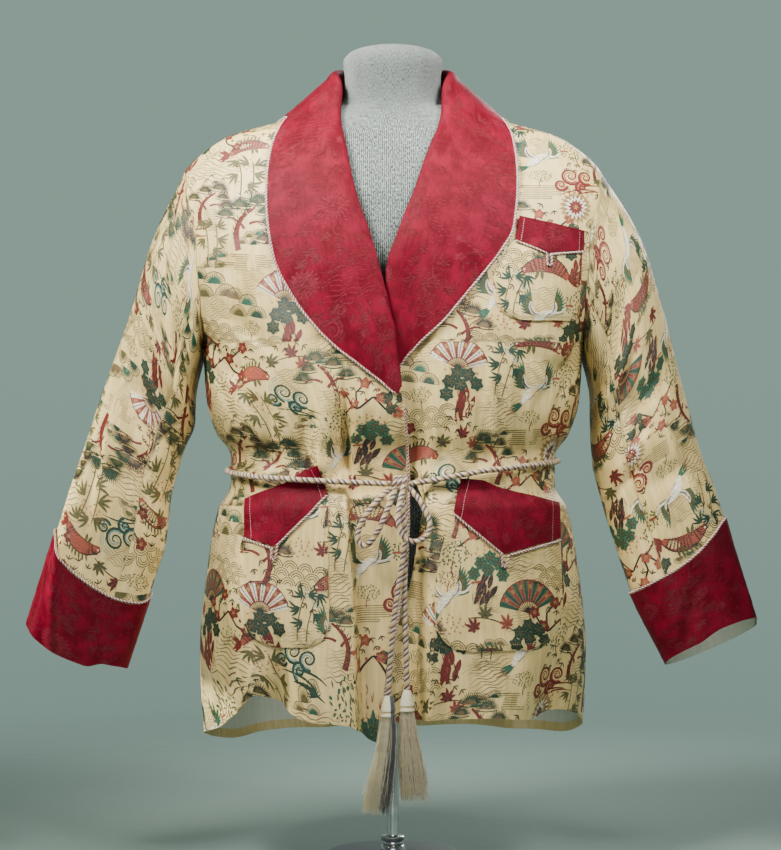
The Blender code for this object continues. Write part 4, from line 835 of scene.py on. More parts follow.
def belt_path(name):
    """Centre line of one stretch, smooth, with a point every millimetre and a half."""
    leave, back = KNOT_WAYS[name]
    if name == "belt_waist":
        middle = belt_waist_route()
    else:
        middle = front_place(*np.array(BELT_STRETCHES[name]).T)
    places = [knot_exit(leave), knot_exit(leave, KNOT_STRAIGHT), *middle]
    if back is not None:
        places += [knot_exit(back, KNOT_STRAIGHT), knot_exit(back)]
    return even(route(places, 600), 1.5 * MM)


belt_paths = {name: belt_path(name) for name in KNOT_WAYS}
tassel_tops = {word: belt_paths["belt_end_" + word][-1] for word in ("right", "left")}
# Each end runs on into its tassel's head, where it is sewn fast.
for word, top in tassel_tops.items():
    inside = top - np.outer(np.linspace(1.5 * MM, 15.0 * MM, 10), (0.0, 0.0, 1.0))
    belt_paths["belt_end_" + word] = np.vstack((belt_paths["belt_end_" + word], inside))
for name, path in belt_paths.items():
    twisted_cord(name + "_cord", path, BELT_RADIUS, BELT_PITCH, BELT_PLIES)
    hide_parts(name)
    print(name, "length", round(float(lengths(path)[-1]), 3), "m")

# %% [markdown]
# ## Knot and tassels
# The knot is the belt's cord, drawn tighter and wound a little more than twice. A tassel is a head
# over a skirt of strands, all made at once: a row of points down each strand, a ring of three
# points round each of those.

# %% The knot
KNOT_WRAP_TURNS = 2.3
KNOT_WRAP_HALF = 6.6 * MM
KNOT_CORD = 3.3 * MM

wrap_share = np.linspace(-0.5, 0.5, 90)
wrap_turn = 2.0 * math.pi * KNOT_WRAP_TURNS * wrap_share + 0.6
wrap_reach_y = KNOT_HALF_SIZES[1] - KNOT_CORD
wrap_reach_z = KNOT_HALF_SIZES[2] - KNOT_CORD
wrap = knot_centre + np.stack((2.0 * KNOT_WRAP_HALF * wrap_share, -wrap_reach_y * np.cos(wrap_turn),
                               wrap_reach_z * np.sin(wrap_turn)), axis=-1)
knot = twisted_cord("belt_knot_wrap", even(wrap, 1.2 * MM), KNOT_CORD, BELT_PITCH, BELT_PLIES)
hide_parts("belt_knot")
print("knot made")

# %% The tassels
TASSEL_HEAD_RADIUS = 0.0086
TASSEL_HEAD_HEIGHT = 0.025
HEAD_RINGS = 64
HEAD_COLUMNS = 36
TASSEL_ENDS = {"right": (-0.020, 0.086), "left": (0.026, 0.100)}
TASSEL_SPREAD = 2.3
TASSEL_STRANDS = 620
TASSEL_STRAND_RADIUS = 0.36 * MM
TASSEL_STRAND_POINTS = 9
# Share of the head's height from the top, share of its radius.
HEAD_ROWS = np.array((
    (0.00, 0.42),
    (0.08, 0.56),
    (0.22, 0.70),
    (0.42, 0.84),
    (0.62, 0.96),
    (0.74, 1.00),
    (0.79, 0.90),
    (0.85, 0.90),
    (0.90, 1.00),
    (1.00, 1.04),
))


def tassel_head(word, top):
    """Head of a tassel: a turned form with fine ridges where thread is wound round it."""
    share = shares(HEAD_RINGS)
    reach = TASSEL_HEAD_RADIUS * through(HEAD_ROWS, share)[..., 0]
    wound = smoothstep(0.70, 0.74, share) * (1.0 - smoothstep(0.86, 0.90, share))
    reach = reach + 0.22 * MM * np.sin(2.0 * math.pi * share * 22.0) * (0.4 + 0.6 * wound)
    turn = np.linspace(0.0, 2.0 * math.pi, HEAD_COLUMNS, endpoint=False)
    ribs = 1.0 + 0.035 * np.cos(18.0 * turn)[None, :] * (1.0 - wound)[:, None]
    reach = reach[:, None] * ribs
    height = np.broadcast_to(top[2] - TASSEL_HEAD_HEIGHT * share[:, None], reach.shape)
    points = np.stack((top[0] + reach * np.cos(turn), top[1] + reach * np.sin(turn), height), axis=-1)
    quads = grid_quads(HEAD_RINGS, HEAD_COLUMNS, around=True)[:, ::-1]
    dark = np.tile(np.cos(turn) > 0.25, HEAD_RINGS - 1) & (word == "right")
    slots = np.where(dark, 2, np.repeat(wound[:-1] > 0.5, HEAD_COLUMNS).astype(int))
    ring = np.arange(HEAD_COLUMNS)[None, :]
    ends = [ring, ring[:, ::-1] + (HEAD_RINGS - 1) * HEAD_COLUMNS]
    uv = np.stack((points[..., 2], np.broadcast_to(turn * TASSEL_HEAD_RADIUS, reach.shape)), axis=-1)
    slots = np.append(slots, (0, 0))
    return add_mesh("tassel_head_" + word, points, [quads, *ends], TASSEL_YARNS, slots, uv)


def tassel_skirt(word, top, seed):
    """Skirt of strands: each starts inside the head, spreads outwards and leans over to its end."""
    chance = np.random.default_rng(seed)
    end_x, end_z = TASSEL_ENDS[word]
    root_reach = 0.9 * TASSEL_HEAD_RADIUS * np.sqrt(chance.uniform(0.02, 1.0, TASSEL_STRANDS))
    root_turn = chance.uniform(0.0, 2.0 * math.pi, TASSEL_STRANDS)
    root_x = (root_reach * np.cos(root_turn))[:, None]
    root_y = (root_reach * np.sin(root_turn))[:, None]
    down = shares(TASSEL_STRAND_POINTS)[None, :]
    floor = top[2] - 0.92 * TASSEL_HEAD_HEIGHT
    drop = (floor - end_z) * chance.uniform(0.80, 1.03, TASSEL_STRANDS)[:, None]
    wave = chance.uniform(-1.0, 1.0, (6, TASSEL_STRANDS, 1))
    spread = 1.0 + (TASSEL_SPREAD - 1.0) * down ** (1.0 + 0.4 * wave[4])
    bend = np.sin(math.pi * down * (2.0 + wave[2])) * down ** 0.5
    sway = np.sin(math.pi * down * (3.0 + wave[3])) * down
    x = top[0] + (end_x - top[0]) * down ** 1.6 + root_x * spread
    x = x + (2.4 * wave[0] * bend + 1.2 * wave[5] * sway) * MM
    y = top[1] + 0.8 * root_y * spread + (2.0 * wave[1] * bend - 1.0 * wave[5] * sway) * MM
    z = floor - drop * down
    middle = np.stack((x, y, np.broadcast_to(z, x.shape)), axis=-1)
    turn = np.array((0.0, 2.0, 4.0)) * math.pi / 3.0
    thick = TASSEL_STRAND_RADIUS * (1.0 - 0.35 * down)[..., None]
    ring = np.stack((np.cos(turn), np.sin(turn), 0.0 * turn), axis=-1)
    points = middle[:, :, None, :] + thick[..., None] * ring[None, None]
    first = 3 * TASSEL_STRAND_POINTS * np.arange(TASSEL_STRANDS)[:, None, None]
    quads = grid_quads(TASSEL_STRAND_POINTS, 3, around=True)[None] + first
    tone = chance.uniform(0.0, 1.0, TASSEL_STRANDS)
    if word == "right":
        dark = root_x[:, 0] > 0.15 * TASSEL_HEAD_RADIUS
        kind = np.where(dark & (tone < 0.70), 2, np.where(tone > 0.85, 1, 0))
    else:
        kind = np.where(tone < 0.42, 1, np.where(tone < 0.47, 3, 0))
    slots = np.repeat(kind, quads.shape[1])
    along = np.broadcast_to(0.06 * down[..., None], points.shape[:3])
    uv = np.stack((along, np.broadcast_to(turn * TASSEL_STRAND_RADIUS, points.shape[:3])), axis=-1)
    yarns = [*TASSEL_YARNS, yarn["belt_mauve"]]
    return add_mesh("tassel_skirt_" + word, points, [quads.reshape(-1, 4)], yarns, slots, uv)


tassels = {}
for word, seed in (("right", 11), ("left", 23)):
    top = tassel_tops[word] - np.array((0.0, 0.0, SEAM_GAP))
    head = tassel_head(word, top)
    skirt = tassel_skirt(word, top, seed)
    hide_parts("tassel_" + word)
    tassels[word] = [head, skirt]
print("tassel strands:", 2 * TASSEL_STRANDS)

# %% [markdown]
# ### What the belt is
# Each stretch is listed with the end it starts from, how it lies and the pieces it carries. All
# of them start at the knot; the waist and the bows come back to it, and each end carries a tassel.

CORD_FACTS = {
    "belt_waist": ("knot", "taut", [knot]),
    "belt_bow_right": ("knot", "loose", []),
    "belt_bow_left": ("knot", "loose", []),
    "belt_end_right": ("knot", "hanging", tassels["right"]),
    "belt_end_left": ("knot", "hanging", tassels["left"]),
}
for name, (far_end, lay, pieces) in CORD_FACTS.items():
    path = belt_paths[name]
    path[::2].tolist() + [path[-1].tolist()]
print("cords declared:", len(CORD_FACTS))

# %% [markdown]
# ## Floor and light
# The jacket stands on pale paper that fades into a studio of the same tone, which is darker in
# front of the jacket than behind it. Two soft lamps stand high in front, to the left and the
# right, and are aimed above the neck so that the light falls off towards the hem. One grazes
# the sleeve and cuff at the left; it is left out of reflections, so it brings up the cloth's
# colour without a shine. The others light the front, the hem, the back and the paper.

# %% Floor and light
FLOOR_RINGS = (0.05, 0.3, 0.8, 1.6, 3.0, 4.5, 6.0)
FLOOR_COLUMNS = 72
FLOOR_FADE = (0.45, 1.9)
PAPER = (0.235, 0.33, 0.295)
PAPER_DEEP = (0.205, 0.295, 0.262)
SKY_LOW = (0.190, 0.280, 0.244)
SKY_PALE = (0.248, 0.368, 0.318)
SKY_HIGH = (0.05, 0.055, 0.055)
SKY_FRONT = (0.075, 0.105, 0.092)


def paper_recipe(place):
    """Pale paper that fades out into the distance."""
    grain = place.noise(60.0, 4.0)
    reach = (place.axis(0) * place.axis(0) + place.axis(1) * place.axis(1)).math("SQRT")
    return {"Base Color": grain.mixed(PAPER_DEEP, PAPER), "Roughness": grain * 0.1 + 0.85,
            "Alpha": 1.0 - reach.between(*FLOOR_FADE)}


floor_reach = np.array(FLOOR_RINGS)[:, None]
floor_turn = np.linspace(0.0, 2.0 * math.pi, FLOOR_COLUMNS, endpoint=False)[None, :]
floor_points = np.stack((floor_reach * np.cos(floor_turn), floor_reach * np.sin(floor_turn),
                         0.0 * floor_reach * floor_turn), axis=-1).reshape(-1, 3)
floor_faces = grid_quads(len(FLOOR_RINGS), FLOOR_COLUMNS, around=True).tolist()
floor_mesh = bpy.data.meshes.new("floor")
floor_mesh.from_pydata(floor_points.tolist(), [], floor_faces + [list(range(FLOOR_COLUMNS))])
floor_mesh.materials.append(new_material("paper", paper_recipe, True, Specular_IOR_Level=0.2))
floor = bpy.data.objects.new("floor", floor_mesh)
bpy.context.collection.objects.link(floor)
# Name, place, aim, width, height, spread in degrees, watts, colour.
LAMPS = (
    ("key", (-0.90, -0.95, 1.92), (0.0, 0.0, 1.08), 0.7, 0.6, 60.0, 15.8, (1.0, 0.97, 0.92)),
    ("side", (-1.72, 0.34, 0.55), (-0.42, 0.0, 0.38), 0.3, 0.3, 26.0, 2.2, (1.0, 0.98, 0.95)),
    ("fill", (0.85, -1.00, 1.90), (0.0, 0.0, 1.06), 0.7, 0.6, 60.0, 8.0, (1.0, 0.98, 0.95)),
    ("front", (0.0, -3.6, 1.2), (0.0, 0.0, 0.6), 2.0, 1.0, 120.0, 0.8, (1.0, 0.99, 0.97)),
    ("low", (0.0, -1.9, 0.10), (0.0, 0.0, 0.22), 1.2, 0.15, 50.0, 0.7, (1.0, 0.99, 0.97)),
    ("back", (1.1, 2.3, 1.6), (0.0, 0.0, 0.6), 1.2, 0.9, 90.0, 11.0, (1.0, 0.98, 0.95)),
    ("sky", (0.0, 0.6, 3.2), (0.0, 0.6, 0.0), 3.0, 3.0, 180.0, 20.0, (1.0, 1.0, 1.0)),
)
for name, place, aim, width, height, spread, watts, colour in LAMPS:
    lamp = bpy.data.lights.new(name, "AREA")
    lamp.shape = "RECTANGLE"
    lamp.size = width
    lamp.size_y = height
    lamp.spread = math.radians(spread)
    lamp.energy = watts
    lamp.color = colour
    item = bpy.data.objects.new(name, lamp)
    item.location = place
    item.visible_camera = False
    item.visible_glossy = name != "side"
    away = np.array(place) - np.array(aim)
    tilt = math.atan2(math.hypot(away[0], away[1]), away[2])
    item.rotation_euler = (tilt, 0.0, math.atan2(away[0], -away[1]))
    bpy.context.collection.objects.link(item)
world = bpy.data.worlds.new("soft")
world.use_nodes = True
sky = world.node_tree
way = Value(sky, sky.nodes.new("ShaderNodeTexCoord").outputs["Generated"])
rise = way.axis(2)
level = rise.between(-0.22, 0.03).mixed(SKY_LOW, SKY_PALE)
level = way.axis(1).between(-0.55, 0.75).mixed(SKY_FRONT, level)
tone = rise.between(0.18, 0.60).mixed(level, SKY_HIGH)
sky.links.new(tone.socket, sky.nodes["Background"].inputs["Color"])
bpy.context.scene.world = world
print("lamps:", len(LAMPS))

# %% [markdown]
# ## Cloth pieces
# Every cloth piece is a grid whose columns are evenly spaced along the cloth, so a place on the
# flat cut is easily found on the draped piece: the row gives the height, and the share of the
# row's length gives the place across. The motifs are laid on with that later.


# %% Cloth pieces
Cloth = namedtuple("Cloth", "points normals start width up")


def spaced(points, count):
    """Each row of a grid with its points spaced evenly along the row."""
    rows = []
    for row in points:
        along = lengths(row)
        places = np.linspace(0.0, along[-1], count)
        rows.append(np.stack([np.interp(places, along, row[:, axis]) for axis in range(3)], axis=-1))
    return np.array(rows)


def cloth(points, facing, start=None, mirrored=False):
    """Measure a grid as cut cloth.

    The normal is the cross product of the slopes across and up, on the side named by facing.
    The flat cut has each row's own length across, and the middle column's length up.
    """
    across = np.gradient(points, axis=1)
    up = np.gradient(points, axis=0)
    normals = unit(np.cross(across, up)) * facing
    width = np.linalg.norm(np.diff(points, axis=1), axis=-1).sum(axis=1)
    if start is None:
        start = -0.5 * width
    if mirrored:
        width = -width
    return Cloth(points, normals, start, width, lengths(points[:, points.shape[1] // 2]))


def flat_map(piece):
    """The flat cut's coordinates of each point of a piece, in metres."""
    share = shares(piece.points.shape[1])
    across = piece.start[:, None] + piece.width[:, None] * share
    return np.stack((across, np.broadcast_to(piece.up[:, None], across.shape)), axis=-1)


def cut_size(piece):
    """Width, length and area of the flat cut; the area is the sum over the grid's cells."""
    across = np.diff(piece.points, axis=1)[:-1]
    up = np.diff(piece.points, axis=0)[:, :-1]
    area = np.linalg.norm(np.cross(across, up), axis=-1).sum()
    return float(np.abs(piece.width).max()), float(piece.up[-1]), float(area)


def cloth_object(name, piece, thickness, materials, node, held, rests_on, turned_rows=0):
    """The shell of a cloth piece, standing for its solid; the size of its cut and what holds it are kept in
    sheets.
    """
    inner = piece.points - piece.normals * thickness
    item = shell(name, piece.points, inner, materials, flat_map(piece), turned_rows)
    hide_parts(node)
    wide, long, area = cut_size(piece)
    sheets[name] = (item, (round(wide, 3), round(long, 3)), round(area, 4), held, rests_on)
    return item


sheets = {}
satin_ground = new_material("brocade_ground", satin((0.865, 0.680, 0.300), (0.69, 0.515, 0.190), 0.0012))
lining_cloth = new_material("lining", satin((0.80, 0.82, 0.68), (0.70, 0.72, 0.58), 0.0010))
# The damask's lighter and darker reds are its painted sheen.
damask_recipe = damask((0.176, 0.0026, 0.0175), (0.090, 0.0011, 0.0070), 0.0010)
damask_ground = new_material("damask_ground", damask_recipe, Specular_IOR_Level=0.10)
BROCADE = [satin_ground, lining_cloth]
DAMASK = [damask_ground, damask_ground]
print("cloth materials made")

# %% [markdown]
# ## Fronts and back
# A panel runs from its front edge to the side seam, and above that to the armhole. Below, the
# hem's rise and fall is shared out over the lowest hand's width, and a narrow strip of the face
# cloth is turned up inside.

# %% Edges of the fronts
PANEL_EDGE_IN_COLLAR = 0.009
SEAM_SPREAD = 1.6
# Height, sideways place of the free edge below the collar.
EDGE_RIGHT_ROWS = np.array((
    (0.130, -0.024),
    (0.220, -0.012),
    (0.310, 0.003),
    (0.386, 0.016),
    (0.470, 0.018),
    (0.590, 0.011),
))
EDGE_LEFT_ROWS = np.array((
    (0.130, -0.012),
    (0.300, 0.004),
    (0.345, 0.019),
    (0.380, 0.026),
    (0.415, 0.031),
    (0.455, 0.037),
    (0.478, 0.030),
    (0.505, -0.004),
    (0.600, -0.022),
))
# Collar, from the shoulder down: roll line and outer edge, each sideways and height.
COLLAR_RIGHT_ROWS = np.array((
    (-0.066, 0.985, -0.125, 0.939),
    (-0.066, 0.950, -0.143, 0.913),
    (-0.064, 0.910, -0.152, 0.877),
    (-0.059, 0.867, -0.153, 0.834),
    (-0.048, 0.822, -0.149, 0.786),
    (-0.033, 0.777, -0.137, 0.740),
    (-0.021, 0.734, -0.111, 0.695),
    (-0.011, 0.697, -0.079, 0.657),
    (-0.001, 0.660, -0.039, 0.625),
    (0.006, 0.628, -0.010, 0.602),
    (0.010, 0.598, 0.006, 0.588),
))
COLLAR_LEFT_ROWS = np.array((
    (0.066, 0.985, 0.127, 0.938),
    (0.062, 0.950, 0.146, 0.905),
    (0.054, 0.906, 0.151, 0.872),
    (0.045, 0.875, 0.150, 0.827),
    (0.033, 0.835, 0.144, 0.790),
    (0.0195, 0.801, 0.130, 0.765),
    (0.007, 0.762, 0.111, 0.740),
    (-0.0025, 0.728, 0.082, 0.705),
    (-0.009, 0.699, 0.051, 0.668),
    (-0.014, 0.665, 0.013, 0.632),
    (-0.018, 0.625, -0.006, 0.602),
))


def front_edge(side, heights):
    """Sideways place of a front's edge: just inside the collar's roll line, then the free edge."""
    collar = COLLAR_RIGHT_ROWS if side < 0 else COLLAR_LEFT_ROWS
    free = EDGE_RIGHT_ROWS if side < 0 else EDGE_LEFT_ROWS
    roll = collar[::-1, [1, 0]]
    edge = np.vstack((free[free[:, 0] < roll[0, 0] - 0.005], roll))
    edge[edge[:, 0] >= roll[0, 0], 1] += side * PANEL_EDGE_IN_COLLAR
    return through(edge, heights)[..., 0]


def armhole_half_angle(height):
    """Half the angle that the armhole takes from the side of the body at a height."""
    share = np.clip((height - ARMHOLE_PIT) / (ARMHOLE_TOP - ARMHOLE_PIT), 0.0, 1.0)
    return ARMHOLE_HALF_ANGLE * (2.0 * np.sqrt(share * (1.0 - share))) ** ARMHOLE_ROUNDNESS


def panel_heights():
    """Heights of a panel's rows, closer where the armhole's edge turns."""
    turn = np.linspace(math.pi, 0.0, 45)
    beside = ARMHOLE_PIT + (ARMHOLE_TOP - ARMHOLE_PIT) * (0.5 + 0.5 * np.cos(turn))
    low = np.linspace(HEM_BASE, ARMHOLE_PIT, 88)[:-1]
    high = np.linspace(ARMHOLE_TOP, PANEL_TOP, 19)[1:]
    return np.concatenate((low, beside, high))


def panel(layer, columns):
    """A body panel as cut cloth, a row for each ring from the hem up."""
    heights = panel_heights()
    behind = through(BODY_ROWS, heights)[..., 2]
    seam = 0.5 * SEAM_GAP / behind * SEAM_SPREAD
    side_edge = 0.5 * math.pi - armhole_half_angle(heights) - seam
    if layer == "back":
        first, last = math.pi - side_edge, math.pi + side_edge
    else:
        side = -1 if layer == "right" else 1
        first, last = angle_at(front_edge(side, heights), heights), side * side_edge
    share = shares(4 * columns)
    angle = first[:, None] + (last - first)[:, None] * share
    height = np.broadcast_to(heights[:, None], angle.shape)
    hem = through(HEM_ROWS, wrapped(angle))[..., 0]
    height = height + (hem - HEM_BASE) * (1.0 - smoothstep(HEM_BASE, HEM_FADE_TOP, height))
    points = spaced(body(angle, height, layer), columns)
    if layer == "back":
        return cloth(points, 1)
    return cloth(points, side, front_edge(side, heights), mirrored=side < 0)


# %% Make the fronts and the back
HEM_TURN_ROWS = 2
FRONT_COLUMNS = 74
BACK_COLUMNS = 96
panels = {
    "front_right": panel("right", FRONT_COLUMNS),
    "front_left": panel("left", FRONT_COLUMNS),
    "back": panel("back", BACK_COLUMNS),
}
for name, piece in panels.items():
    cloth_object(name + "_cloth", piece, CLOTH, BROCADE, name, "hung", ["dress_form"], HEM_TURN_ROWS)
    print(name, "cut", [round(value, 3) for value in cut_size(piece)])

# %% [markdown]
# ## Sleeves and cuffs
# A two-piece sleeve is a tube of ovals that grows out of the armhole's edge. Its folds follow the
# bend of the arm. The cuff is a second, wider tube over its end that rises to a point outside.

# %% Sleeve tables
# Share of the length, outer and inner edge (sideways, height), depth in front and behind,
# lean forward, drop of the front of the mouth.
SLEEVE_RIGHT_ROWS = np.array((
    (0.00, 0.274, 0.862, 0.249, 0.652, 0.086, 0.090, 0.000, 0.000),
    (0.16, 0.300, 0.801, 0.2505, 0.606, 0.078, 0.084, 0.000, 0.000),
    (0.34, 0.333, 0.692, 0.2515, 0.556, 0.066, 0.070, 0.000, 0.000),
    (0.50, 0.363, 0.606, 0.266, 0.515, 0.056, 0.058, -0.004, 0.000),
    (0.64, 0.391, 0.521, 0.280, 0.462, 0.050, 0.050, -0.010, 0.000),
    (0.76, 0.410, 0.464, 0.287, 0.402, 0.045, 0.045, -0.016, 0.004),
    (0.86, 0.428, 0.405, 0.303, 0.350, 0.041, 0.041, -0.020, 0.010),
    (1.00, 0.460, 0.302, 0.335, 0.246, 0.039, 0.039, -0.026, 0.018),
))
SLEEVE_LEFT_ROWS = np.array((
    (0.00, 0.276, 0.862, 0.249, 0.652, 0.086, 0.090, 0.000, 0.000),
    (0.16, 0.310, 0.801, 0.2505, 0.606, 0.078, 0.084, 0.000, 0.000),
    (0.34, 0.343, 0.694, 0.2505, 0.556, 0.066, 0.070, 0.000, 0.000),
    (0.50, 0.366, 0.604, 0.253, 0.506, 0.056, 0.058, -0.004, 0.000),
    (0.64, 0.388, 0.522, 0.264, 0.456, 0.050, 0.050, -0.008, 0.000),
    (0.76, 0.409, 0.464, 0.283, 0.394, 0.045, 0.045, -0.012, -0.003),
    (0.86, 0.427, 0.402, 0.301, 0.342, 0.041, 0.041, -0.014, -0.006),
    (1.00, 0.457, 0.298, 0.346, 0.251, 0.039, 0.039, -0.016, -0.012),
))
SLEEVE_SQUARENESS = 2.2
SLEEVE_BLEND = 0.26
SLEEVE_END = 0.965
SLEEVE_SEAM_RADIUS = 0.042
ARMHOLE_GAP = 0.6 * MM
ARMHOLE_STEPS = 16
SLEEVE_SEAM_STEPS = (5, 11)
SLEEVE_STATIONS = 110
UPPER_COLUMNS = 56
UNDER_COLUMNS = 34
# Share of the length, angle round the sleeve in degrees, depth, half length, half angle, slant.
SLEEVE_FOLDS = (
    (0.20, 90, -0.007, 0.050, 28, 0),
    (0.32, 120, 0.005, 0.045, 34, 0),
    (0.45, 75, -0.006, 0.035, 30, 0),
    (0.56, 110, 0.004, 0.035, 34, 0),
    (0.66, 70, -0.005, 0.030, 32, 0),
    (0.28, 260, -0.006, 0.050, 30, 0),
    (0.47, 290, -0.006, 0.040, 32, 0),
    (0.62, 255, 0.005, 0.040, 30, 0),
)
SLEEVE_RIGHT_CREASES = (
    (0.95, 62, 0.0090, 0.13, 13, 220),
    (0.95, 114, -0.0125, 0.13, 36, 160),
    (0.95, 20, -0.0030, 0.09, 12, 0),
    (0.55, 112.5, -0.0016, 0.60, 3.5, 0),
    (0.62, 64, 0.0034, 0.20, 8, 60),
    (0.60, 48, -0.0030, 0.18, 8, 70),
    (0.48, 88, -0.0030, 0.14, 6, 130),
    (0.30, 62, -0.0026, 0.10, 8, 260),
    (0.15, 118, -0.0030, 0.060, 9, 260),
    (0.24, 140, -0.0028, 0.050, 10, 320),
    (0.40, 105, -0.0026, 0.030, 12, 700),
    (0.50, 130, -0.0030, 0.026, 14, 900),
    (0.59, 95, -0.0024, 0.024, 14, 800),
    (0.72, 120, -0.0020, 0.026, 12, 600),
    (0.36, 235, -0.0028, 0.036, 14, -700),
    (0.55, 270, -0.0026, 0.030, 14, -800),
    (0.70, 240, -0.0022, 0.028, 12, -600),
    (0.08, 40, -0.0014, 0.040, 8, 120),
)
SLEEVE_LEFT_CREASES = (
    (0.72, 96, 0.0040, 0.17, 8, -30),
    (0.72, 112, -0.0042, 0.17, 9, -30),
    (0.96, 110, -0.0036, 0.05, 9, 420),
    (0.94, 62, -0.0034, 0.06, 12, -300),
    (0.97, 24, 0.0040, 0.10, 11, 0),
    (0.55, 112.5, -0.0016, 0.60, 3.5, 0),
    (0.56, 66, 0.0036, 0.22, 8, -50),
    (0.60, 82, -0.0032, 0.20, 7, -40),
    (0.68, 44, -0.0028, 0.14, 8, -90),
    (0.34, 92, -0.0030, 0.09, 8, 240),
    (0.17, 112, -0.0030, 0.055, 9, 300),
    (0.29, 132, -0.0030, 0.045, 11, 420),
    (0.43, 112, -0.0028, 0.030, 13, 760),
    (0.53, 98, -0.0024, 0.028, 12, 820),
    (0.63, 128, -0.0030, 0.026, 15, 900),
    (0.75, 105, -0.0022, 0.026, 12, 640),
    (0.33, 242, -0.0026, 0.040, 13, -600),
    (0.51, 262, -0.0030, 0.030, 14, -840),
    (0.67, 246, -0.0022, 0.028, 12, -640),
    (0.10, 52, -0.0014, 0.045, 8, 150),
)
# Angle from the outer seam in degrees, share of the sleeve's length of the cuff's upper edge.
CUFF_TOP_RIGHT_ROWS = np.array((
    (0, 0.842),
    (12, 0.846),
    (25, 0.853),
    (37, 0.863),
    (50, 0.875),
    (75, 0.887),
    (114, 0.8955),
    (150, 0.892),
    (180, 0.881),
))
CUFF_TOP_LEFT_ROWS = np.array((
    (0, 0.815),
    (25, 0.820),
    (55, 0.839),
    (75, 0.855),
    (108, 0.869),
    (127, 0.870),
    (180, 0.868),
))
# Angle from the outer seam over the front, share of the sleeve's length of the cuff's lower edge.
CUFF_END_RIGHT_ROWS = np.array((
    (0, 1),
    (100, 1),
    (126, 0.990),
    (150, 0.991),
    (180, 1),
))
CUFF_END_LEFT_ROWS = np.array((
    (0, 1),
    (25, 0.992),
    (80, 0.991),
    (108, 1),
    (180, 1),
))
CUFF_LIFT = 2.4 * MM
CUFF_FLARE = 0.8 * MM
CUFF_SEAM = 0.004
CUFF_STATIONS = 26
CUFF_COLUMNS = 121


# %% Sleeve surfaces
def armhole(side, turn):
    """The armhole's edge: turn 0 is the shoulder, a quarter turn the front, a half the pit."""
    height = ARMHOLE_PIT + (ARMHOLE_TOP - ARMHOLE_PIT) * (0.5 + 0.5 * np.cos(turn))
    swing = ARMHOLE_HALF_ANGLE * power(np.sin(turn), ARMHOLE_ROUNDNESS)
    return side * (0.5 * math.pi - swing), height


def sleeve_oval(side, turn, share, lift):
    """Ovals along the arm between the sleeve's outer and inner edges, with folds and creases."""
    table = SLEEVE_RIGHT_ROWS if side < 0 else SLEEVE_LEFT_ROWS
    x_out, z_out, x_in, z_in, front, behind, lean, drop = read_columns(table, share)
    across = power(np.cos(turn), 2.0 / SLEEVE_SQUARENESS)
    forward = power(np.sin(turn), 2.0 / SLEEVE_SQUARENESS)
    fold = np.zeros_like(turn)
    creases = SLEEVE_RIGHT_CREASES if side < 0 else SLEEVE_LEFT_CREASES
    for place, middle, depth, half_length, half_turn, slant in SLEEVE_FOLDS + creases:
        centre = np.radians(middle + slant * (share - place))
        away = wrapped(turn - centre)
        fold = fold + depth * np.exp(-((share - place) / half_length) ** 2 - (away / half_turn) ** 2)
    half_x = 0.5 * (x_out - x_in)
    half_z = 0.5 * (z_out - z_in)
    grow = 1.0 + (lift + fold) / np.hypot(half_x, half_z)
    depth = np.where(forward > 0.0, front, behind) + lift + fold
    x = 0.5 * (x_out + x_in) + half_x * across * grow
    z = 0.5 * (z_out + z_in) + half_z * across * grow - drop * forward
    return np.stack((side * x, lean - depth * forward, z), axis=-1)


def sleeve(side, turn, share, lift=0.0):
    """A sleeve's outer face: the ovals, moved near the shoulder to start on the armhole's edge."""
    turn, share = np.broadcast_arrays(np.asarray(turn, float), np.asarray(share, float))
    angle, height = armhole(side, turn)
    ahead = (np.sin(turn) > 0.0)[..., None]
    edge = np.where(ahead, body(angle, height, "right" if side < 0 else "left"), body(angle, height, "back"))
    away = unit(np.array((side * 0.75, 0.0, -0.66))) * ARMHOLE_GAP
    stay = 1.0 - smoothstep(0.0, SLEEVE_BLEND, share)[..., None]
    start = sleeve_oval(side, turn, np.zeros_like(share), 0.0)
    return sleeve_oval(side, turn, share, lift) + (edge + away - start) * stay


def cuff_top(side, turn):
    """Share of the sleeve's length where the cuff's upper edge lies, least at the outer point."""
    away = np.abs(wrapped(turn))
    return through(CUFF_TOP_RIGHT_ROWS if side < 0 else CUFF_TOP_LEFT_ROWS, away)[..., 0]


def cuff_end(side, turn):
    """Share of the sleeve's length where the cuff's lower edge lies; it rises a little in front."""
    away = wrapped(turn)
    rows = CUFF_END_RIGHT_ROWS if side < 0 else CUFF_END_LEFT_ROWS
    return through(rows, np.clip(away, 0.0, 180.0))[..., 0]


def cuff(side, turn, share, extra=0.0):
    """A cuff's outer face, outside the sleeve and a little wider towards its top."""
    return sleeve(side, turn, share, CUFF_LIFT + CUFF_FLARE * smoothstep(1.0, 0.84, share) + extra)


